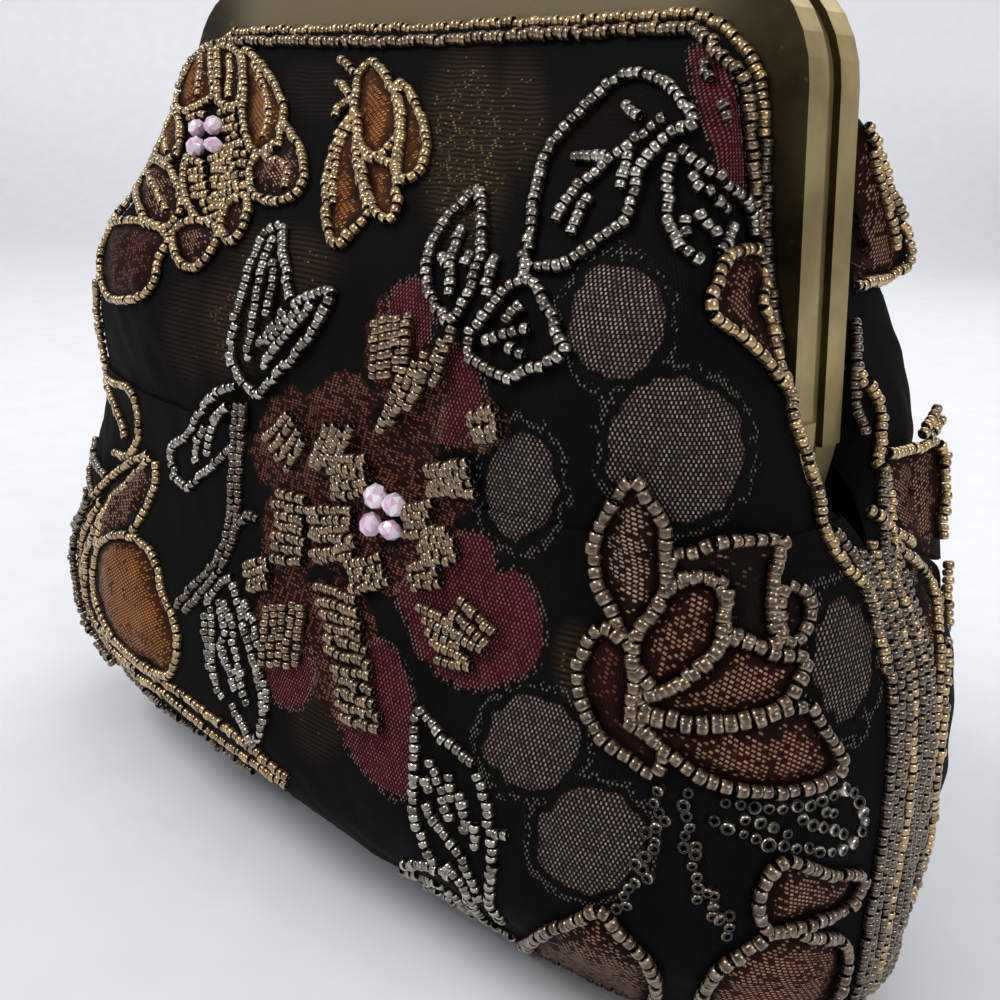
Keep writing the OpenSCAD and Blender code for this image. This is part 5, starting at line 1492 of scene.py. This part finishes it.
# Ropes of beads down each side seam, a little unruly, from the hinge to the base
for sign, label in ((1, "right"), (-1, "left")):
    ropes = {"copper": BeadBag(), "gold": BeadBag(), "umber": BeadBag()}
    for k in range(7):
        y0 = sign * (k - 2.5) * bead_d * 1.09
        z = np.linspace(bead_d * 3, hinge_h - seam_open + (0.4, 1.9, 1.1, 2.6, 0.7, 2.1, -1.5)[k], 90)
        y = y0 * (1 - 0.16 * smooth((z - 78) / 12)) + 0.4 * wander(z, z * 0, 40 + k, 6, 14, 50)
        x = half_w(z) * (1 - (np.abs(y) / half_d(z)) ** boxy(z)) ** (1 / boxy(z)) + bead_r + soft_gap * 0.6
        pts = np.stack([sign * x, y, z], -1)
        kind = ("umber", "umber", "copper", "gold", "umber", "umber", "copper")[k]
        ropes[kind].row(pts, np.tile([sign * 1.0, 0, 0], (len(z), 1)), lift=0.0, pitch=1.66, radius=1.0, jitter=0.17)
    main = ropes["copper"].build(label + "_seam_beads", "copper", "front", cut=False)[0]
    for kind in ("gold", "umber"):
        ropes[kind].build(f"{label}_seam_{kind}_beads", kind, "front", cut=False)
    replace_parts(main, label + "_side_beads")


# Two ropes of beads under the frame: a gold one along the band, a brown one sewn to the cloth below it
GOLD_ROW = np.array([
    (0, 167.2), (15, 167.5), (35, 167.7), (52.5, 167.9), (60.5, 168.0), (64.4, 167.8), (67.3, 167.2), (69.3, 166.0),
    (71.3, 164.5), (73.3, 162.8), (74.8, 161), (76.1, 159.2), (77, 157), (77.5, 154.2), (78.2, 151.3), (78.6, 148.4),
    (79.6, 141), (80.5, 135), (82.4, 127), (84.2, 120), (86, 113)])
BROWN_ROW = px("""420,44 440,45 480,42 560,38 600,37 640,34 680,33 700,36 712,45 722,58 732,70 738,85 742,100 744,120
    746,140 748,160 750,190 753,215 758,240""")
gold_half = np.stack([GOLD_ROW[:, 0], np.full(len(GOLD_ROW), -frame_y - 1.2), GOLD_ROW[:, 1]], -1)
gold_run = curve_through(np.concatenate([gold_half[::-1], gold_half[1:] * [-1, 1, 1]]), step=1.0)
brown_hits = [h for h in (cast(p) for p in curve_through(BROWN_ROW, step=5.0)) if h[0][0] > 0.3]
brown_spots, brown_ups = (np.array([h[k] for h in brown_hits]) for k in range(2))
brown_run = np.concatenate([brown_spots[::-1], brown_spots * [-1, 1, 1]])
brown_up = np.concatenate([brown_ups[::-1], brown_ups * [-1, 1, 1]])
first, last = np.nonzero(gold_run[:, 2] > 150)[0][[0, -1]]
for side in ("front", "rear"):
    made = []
    for name, kind, run in (("edge", "gold", slice(first, last + 1)), ("leg_a", "dark", slice(0, first + 1)),
                            ("leg_b", "dark", slice(last, len(gold_run)))):
        row_bag = BeadBag()
        row_bag.row(gold_run[run], np.tile([0, -1.0, 0], (len(gold_run[run]), 1)), pitch=1.38, radius=1.1,
                    jitter=0.22, lift=0.0)
        made += row_bag.build("frame_" + name, kind, side, cut="rigid")
    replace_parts(made[0], side + "_frame_beads")
    row_bag = BeadBag()
    row_bag.row(brown_run, brown_up, pitch=1.38, radius=1.08, jitter=0.22)
    row_bag.build("frame_low", "amber", side, cut="upper")


# The brass frame, knobs and rivets keep their CAD shape, with eased edges and their own finish
def dress(node, key, ease):
    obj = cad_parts[node]
    if not obj.material_slots:
        obj.data.materials.append(MATS[key])
    for slot in obj.material_slots:
        slot.link = "OBJECT"
        slot.material = MATS[key]
    if ease:
        m = obj.modifiers.new("eased_edges", "BEVEL")
        m.width, m.segments, m.limit_method, m.angle_limit = ease * MM, 2, "ANGLE", math.radians(38)
    obj.modifiers.new("even_shading", "NODES").node_group = EVEN


for side in ("front", "rear"):
    dress(side + "_frame", "band", 0.22)
    dress(side + "_clasp_knob", "knob", 0.15)
    dress(side + "_channel_cord", "paper", 0)
dress("hinge_rivets", "rivet", 0.15)
dress("base_board", "card", 0.2)


# Pale floor with a swept backdrop that carries a painted glow, soft lamps and a pale world
def floor_material():
    n = Net("studio_floor")
    where = n.add("ShaderNodeTexCoord").outputs["Object"]
    grain = n.noise(where, 60.0, 3)
    split = n.add("ShaderNodeSeparateXYZ", {0: where})
    high = n.step(split.outputs[2], 0.0, 0.24)
    seen = n.add("ShaderNodeLightPath").outputs["Is Camera Ray"]
    side = n.step(split.outputs[0], -1.2, 0.6)
    # Painted glow: the backdrop emits light seen only by the camera, rising over its first 0.24 m of height and
    # stronger towards +x
    glow = n.mul(n.mul(high, seen), n.line(side, 0.12, 0.13))
    n.set(Base_Color=n.mix(grain, (226, 228, 231), (236, 238, 241)), Roughness=0.75,
          Specular_IOR_Level=0.2, Emission_Color=(1.0, 1.0, 1.0, 1.0), Emission_Strength=glow)
    return n.mat


def studio():
    t = np.linspace(0, math.pi / 2, 13)
    profile = [(-1500.0, 0.0), (-400.0, 0.0), (0.0, 0.0), (500.0, 0.0)]
    profile += [(1100 + 500 * math.sin(a), 500 - 500 * math.cos(a)) for a in t] + [(1600.0, 2500.0)]
    a = math.radians(AZIMUTH)
    right, back = np.array([math.cos(a), math.sin(a), 0]), np.array([-math.sin(a), math.cos(a), 0])
    across = np.linspace(-2500, 2500, 21)
    verts = np.array([[right * x + back * d + np.array([0, 0, h]) for x in across] for d, h in profile])
    faces = grid_faces(len(profile), len(across))
    obj = make_mesh("studio_floor", verts.reshape(-1, 3), faces)
    if obj.data.polygons[0].normal.z < 0:
        obj.data.flip_normals()
    obj.data.materials.append(floor_material())


def lamp(name, place_mm, aim_mm, size, power):
    data = bpy.data.lights.new(name, "AREA")
    data.shape, data.size, data.size_y = "RECTANGLE", size[0], size[1]
    data.energy = power
    obj = bpy.data.objects.new(name, data)
    bpy.context.scene.collection.objects.link(obj)
    obj.location = Vector(place_mm) * MM
    aim = (Vector(aim_mm) - Vector(place_mm)).normalized()
    obj.rotation_euler = aim.to_track_quat("-Z", "Y").to_euler()


studio()
lamp("window", (-500, -800, 1250), (0, 0, 80), (0.8, 0.6), 13)
lamp("side_fill", (1100, -150, 800), (0, 0, 90), (0.7, 0.5), 5)
lamp("back_glow", (-200, 900, 900), (0, 0, 100), (1.0, 0.6), 5)
world = bpy.data.worlds.new("studio_world")
bpy.context.scene.world = world
world.use_nodes = True
back = world.node_tree.nodes["Background"]
back.inputs[0].default_value = (0.94, 0.96, 1.0, 1)
back.inputs[1].default_value = 0.5
bpy.context.scene.view_settings.view_transform = "Standard"
